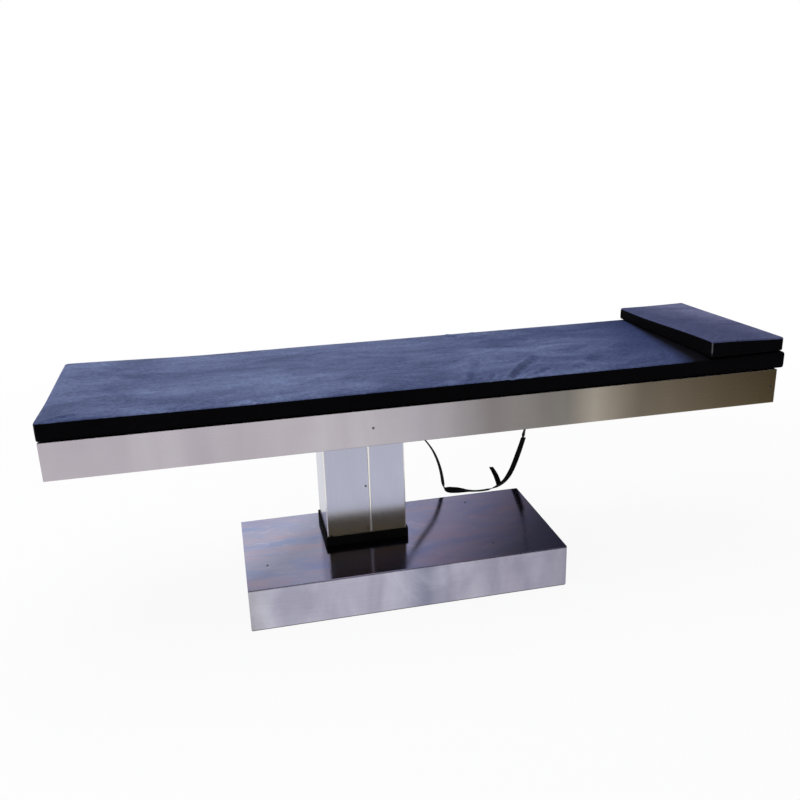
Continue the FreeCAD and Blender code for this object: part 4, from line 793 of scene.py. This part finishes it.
CUSHION_FOLDS = (
    ((0.800, 0.245), (0.860, 0.190), 0.010, 0.0030, 0.1),
    ((0.850, 0.030), (0.930, 0.000), 0.012, 0.0020, 0.2),
    ((0.780, -0.250), (0.830, -0.170), 0.010, 0.0018, 0.0),
    ((0.985, -0.255), (0.930, -0.200), 0.010, 0.0018, 0.0),
)
PAD_SWELLS = (((-1.0, 0.265), (0.42, 0.42), 0.0075), ((-1.0, -0.265), (0.60, 0.20), 0.0035))
CUSHION_SWELLS = (((0.785, -0.265), (0.27, 0.42), 0.0095), ((0.90, 0.265), (0.30, 0.45), -0.0035))
pad_low, pad_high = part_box("table_pad")
cushion_low, cushion_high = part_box("head_cushion")
pad = blown_cushion("table_mattress", pad_low, pad_high, corner=0.006, voxel=0.006, cap=0.0035,
                    inset=0.0020, pressure=4.0)
cushion = blown_cushion("pillow_block", cushion_low, cushion_high, corner=0.006, voxel=0.005, cap=0.0030,
                        inset=0.0020, pressure=4.0)
# From just inside the cushion's edge on, the pad's top takes the dark side coat: painted shade under and at
# the edge of the cushion.
split_coats(pad, pad_low, pad_high, SEAM, top_hide_painted_sheen, cushion_low[0] + 0.012)
split_coats(cushion, cushion_low, cushion_high, SEAM, cushion_hide_painted_sheen)
dress_cover(pad, pad_low, pad_high, PAD_FOLDS, PAD_SWELLS, 0.0012)
dress_cover(cushion, cushion_low, cushion_high, CUSHION_FOLDS, CUSHION_SWELLS, 0.0008)
middle = Vector((cushion_low[0] + cushion_high[0], cushion_low[1] + cushion_high[1], 0)) / 2
lying = Matrix.Translation(middle - CUSHION_SHIFT) @ Matrix.Rotation(CUSHION_TURN, 4, "Z")
cushion.data.transform(lying @ Matrix.Translation(-middle))
for block, node in ((pad, "table_pad"), (cushion, "head_cushion")):
    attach(block, "tabletop")
    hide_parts(node)


# Floor, backdrop and soft studio light
def stage_plane(name, centre, size, turn, material):
    bpy.ops.mesh.primitive_plane_add(size=1, location=centre, rotation=turn)
    plane = bpy.context.active_object
    plane.name = name
    plane.scale = (size[0], size[1], 1)
    plane.data.materials.append(material)
    return plane


floor_nodes = Nodes("studio_floor")
grit = floor_nodes.noise(3.0, 4.0, 0.5)
pale = floor_nodes.ramp(grit, (0.3, (0.80, 0.80, 0.82, 1)), (0.7, (0.84, 0.84, 0.86, 1)))
floor_nodes.finish(Base_Color=pale, Roughness=0.9, Specular_IOR_Level=0.1)
glow = floor_nodes.node("ShaderNodeEmission")
glow.inputs["Color"].default_value = WHITE
rays = floor_nodes.node("ShaderNodeLightPath")
seen = floor_nodes.maths("ADD", rays.outputs["Is Camera Ray"], rays.outputs["Is Glossy Ray"])
seen = floor_nodes.maths("ADD", seen, rays.outputs["Is Transmission Ray"])
reach = floor_nodes.node("ShaderNodeVectorMath", operation="LENGTH")
floor_nodes.link(floor_nodes.place, reach.inputs[0])
fade = floor_nodes.spread(reach.outputs["Value"], 0.05, 0.10, 0.91, 1.0)
floor_nodes.blend(floor_nodes.maths("MULTIPLY", seen, fade), floor_nodes.shader.outputs["BSDF"],
                  glow.outputs["Emission"])
stage_plane("floor", (0, 0, 0), (30, 30), (0, 0, 0), floor_nodes.material)


def flag(name, centre, size, turn, near, far, fade_from, fade_to):
    """A toned studio card that only metal and gloss see; it fades in along its own width."""
    n = Nodes(name)
    across = n.axes()[0]
    glow = n.node("ShaderNodeEmission")
    n.link(n.ramp(n.spread(across, -0.5, 0.5, 0.0, 1.0), (0.0, near), (1.0, far)), glow.inputs["Color"])
    clear = n.node("ShaderNodeBsdfTransparent")
    n.blend(n.spread(across, fade_from, fade_to, 0.0, 1.0), clear.outputs["BSDF"], glow.outputs["Emission"])
    card = stage_plane(name, centre, size, turn, n.material)
    card.visible_camera = False
    card.visible_diffuse = False
    card.visible_shadow = False


STANDING = (math.radians(90), 0, 0)
olive = linear(62, 50, 22)
flag("front_flag", (0, -4.4, 2.4), (10, 3.6), STANDING, olive, olive, -0.5, -0.45)
flag("right_flag", (3.2, -2.6, 0.004), (4.6, 3.6), (0, 0, 0), linear(120, 108, 92), linear(70, 60, 44),
     -0.5, -0.2)
flag("rear_flag", (3.0, 4.4, 2.6), (6.0, 4.6), STANDING, linear(130, 126, 146), linear(56, 52, 72),
     -0.42, -0.08)

world = bpy.data.worlds.new("studio")
bpy.context.scene.world = world
world.use_nodes = True
sky = world.node_tree
background = sky.nodes["Background"]
rays = sky.nodes.new("ShaderNodeLightPath")
seen = rays.outputs["Is Camera Ray"]
for kind in ("Is Glossy Ray", "Is Transmission Ray"):
    adder = sky.nodes.new("ShaderNodeMath")
    adder.operation = "ADD"
    adder.use_clamp = True
    sky.links.new(seen, adder.inputs[0])
    sky.links.new(rays.outputs[kind], adder.inputs[1])
    seen = adder.outputs["Value"]
level = sky.nodes.new("ShaderNodeMapRange")
level.inputs["To Min"].default_value = 0.62
level.inputs["To Max"].default_value = 1.0
sky.links.new(seen, level.inputs["Value"])
background.inputs["Color"].default_value = WHITE
sky.links.new(level.outputs["Result"], background.inputs["Strength"])


def soft_light(name, place, target, size, watts):
    lamp = bpy.data.lights.new(name, "AREA")
    lamp.shape = "RECTANGLE"
    lamp.size, lamp.size_y = size
    lamp.energy = watts
    holder = bpy.data.objects.new(name, lamp)
    holder.location = place
    holder.rotation_euler = (Vector(target) - Vector(place)).to_track_quat("-Z", "Y").to_euler()
    bpy.context.scene.collection.objects.link(holder)


soft_light("top_light", (-0.6, 0.6, 3.4), (0, 0, 0.5), (3.2, 2.0), 55)
soft_light("left_light", (-3.6, -1.4, 2.0), (0, 0, 0.4), (1.8, 1.8), 22)

bpy.context.scene.view_settings.view_transform = "Standard"
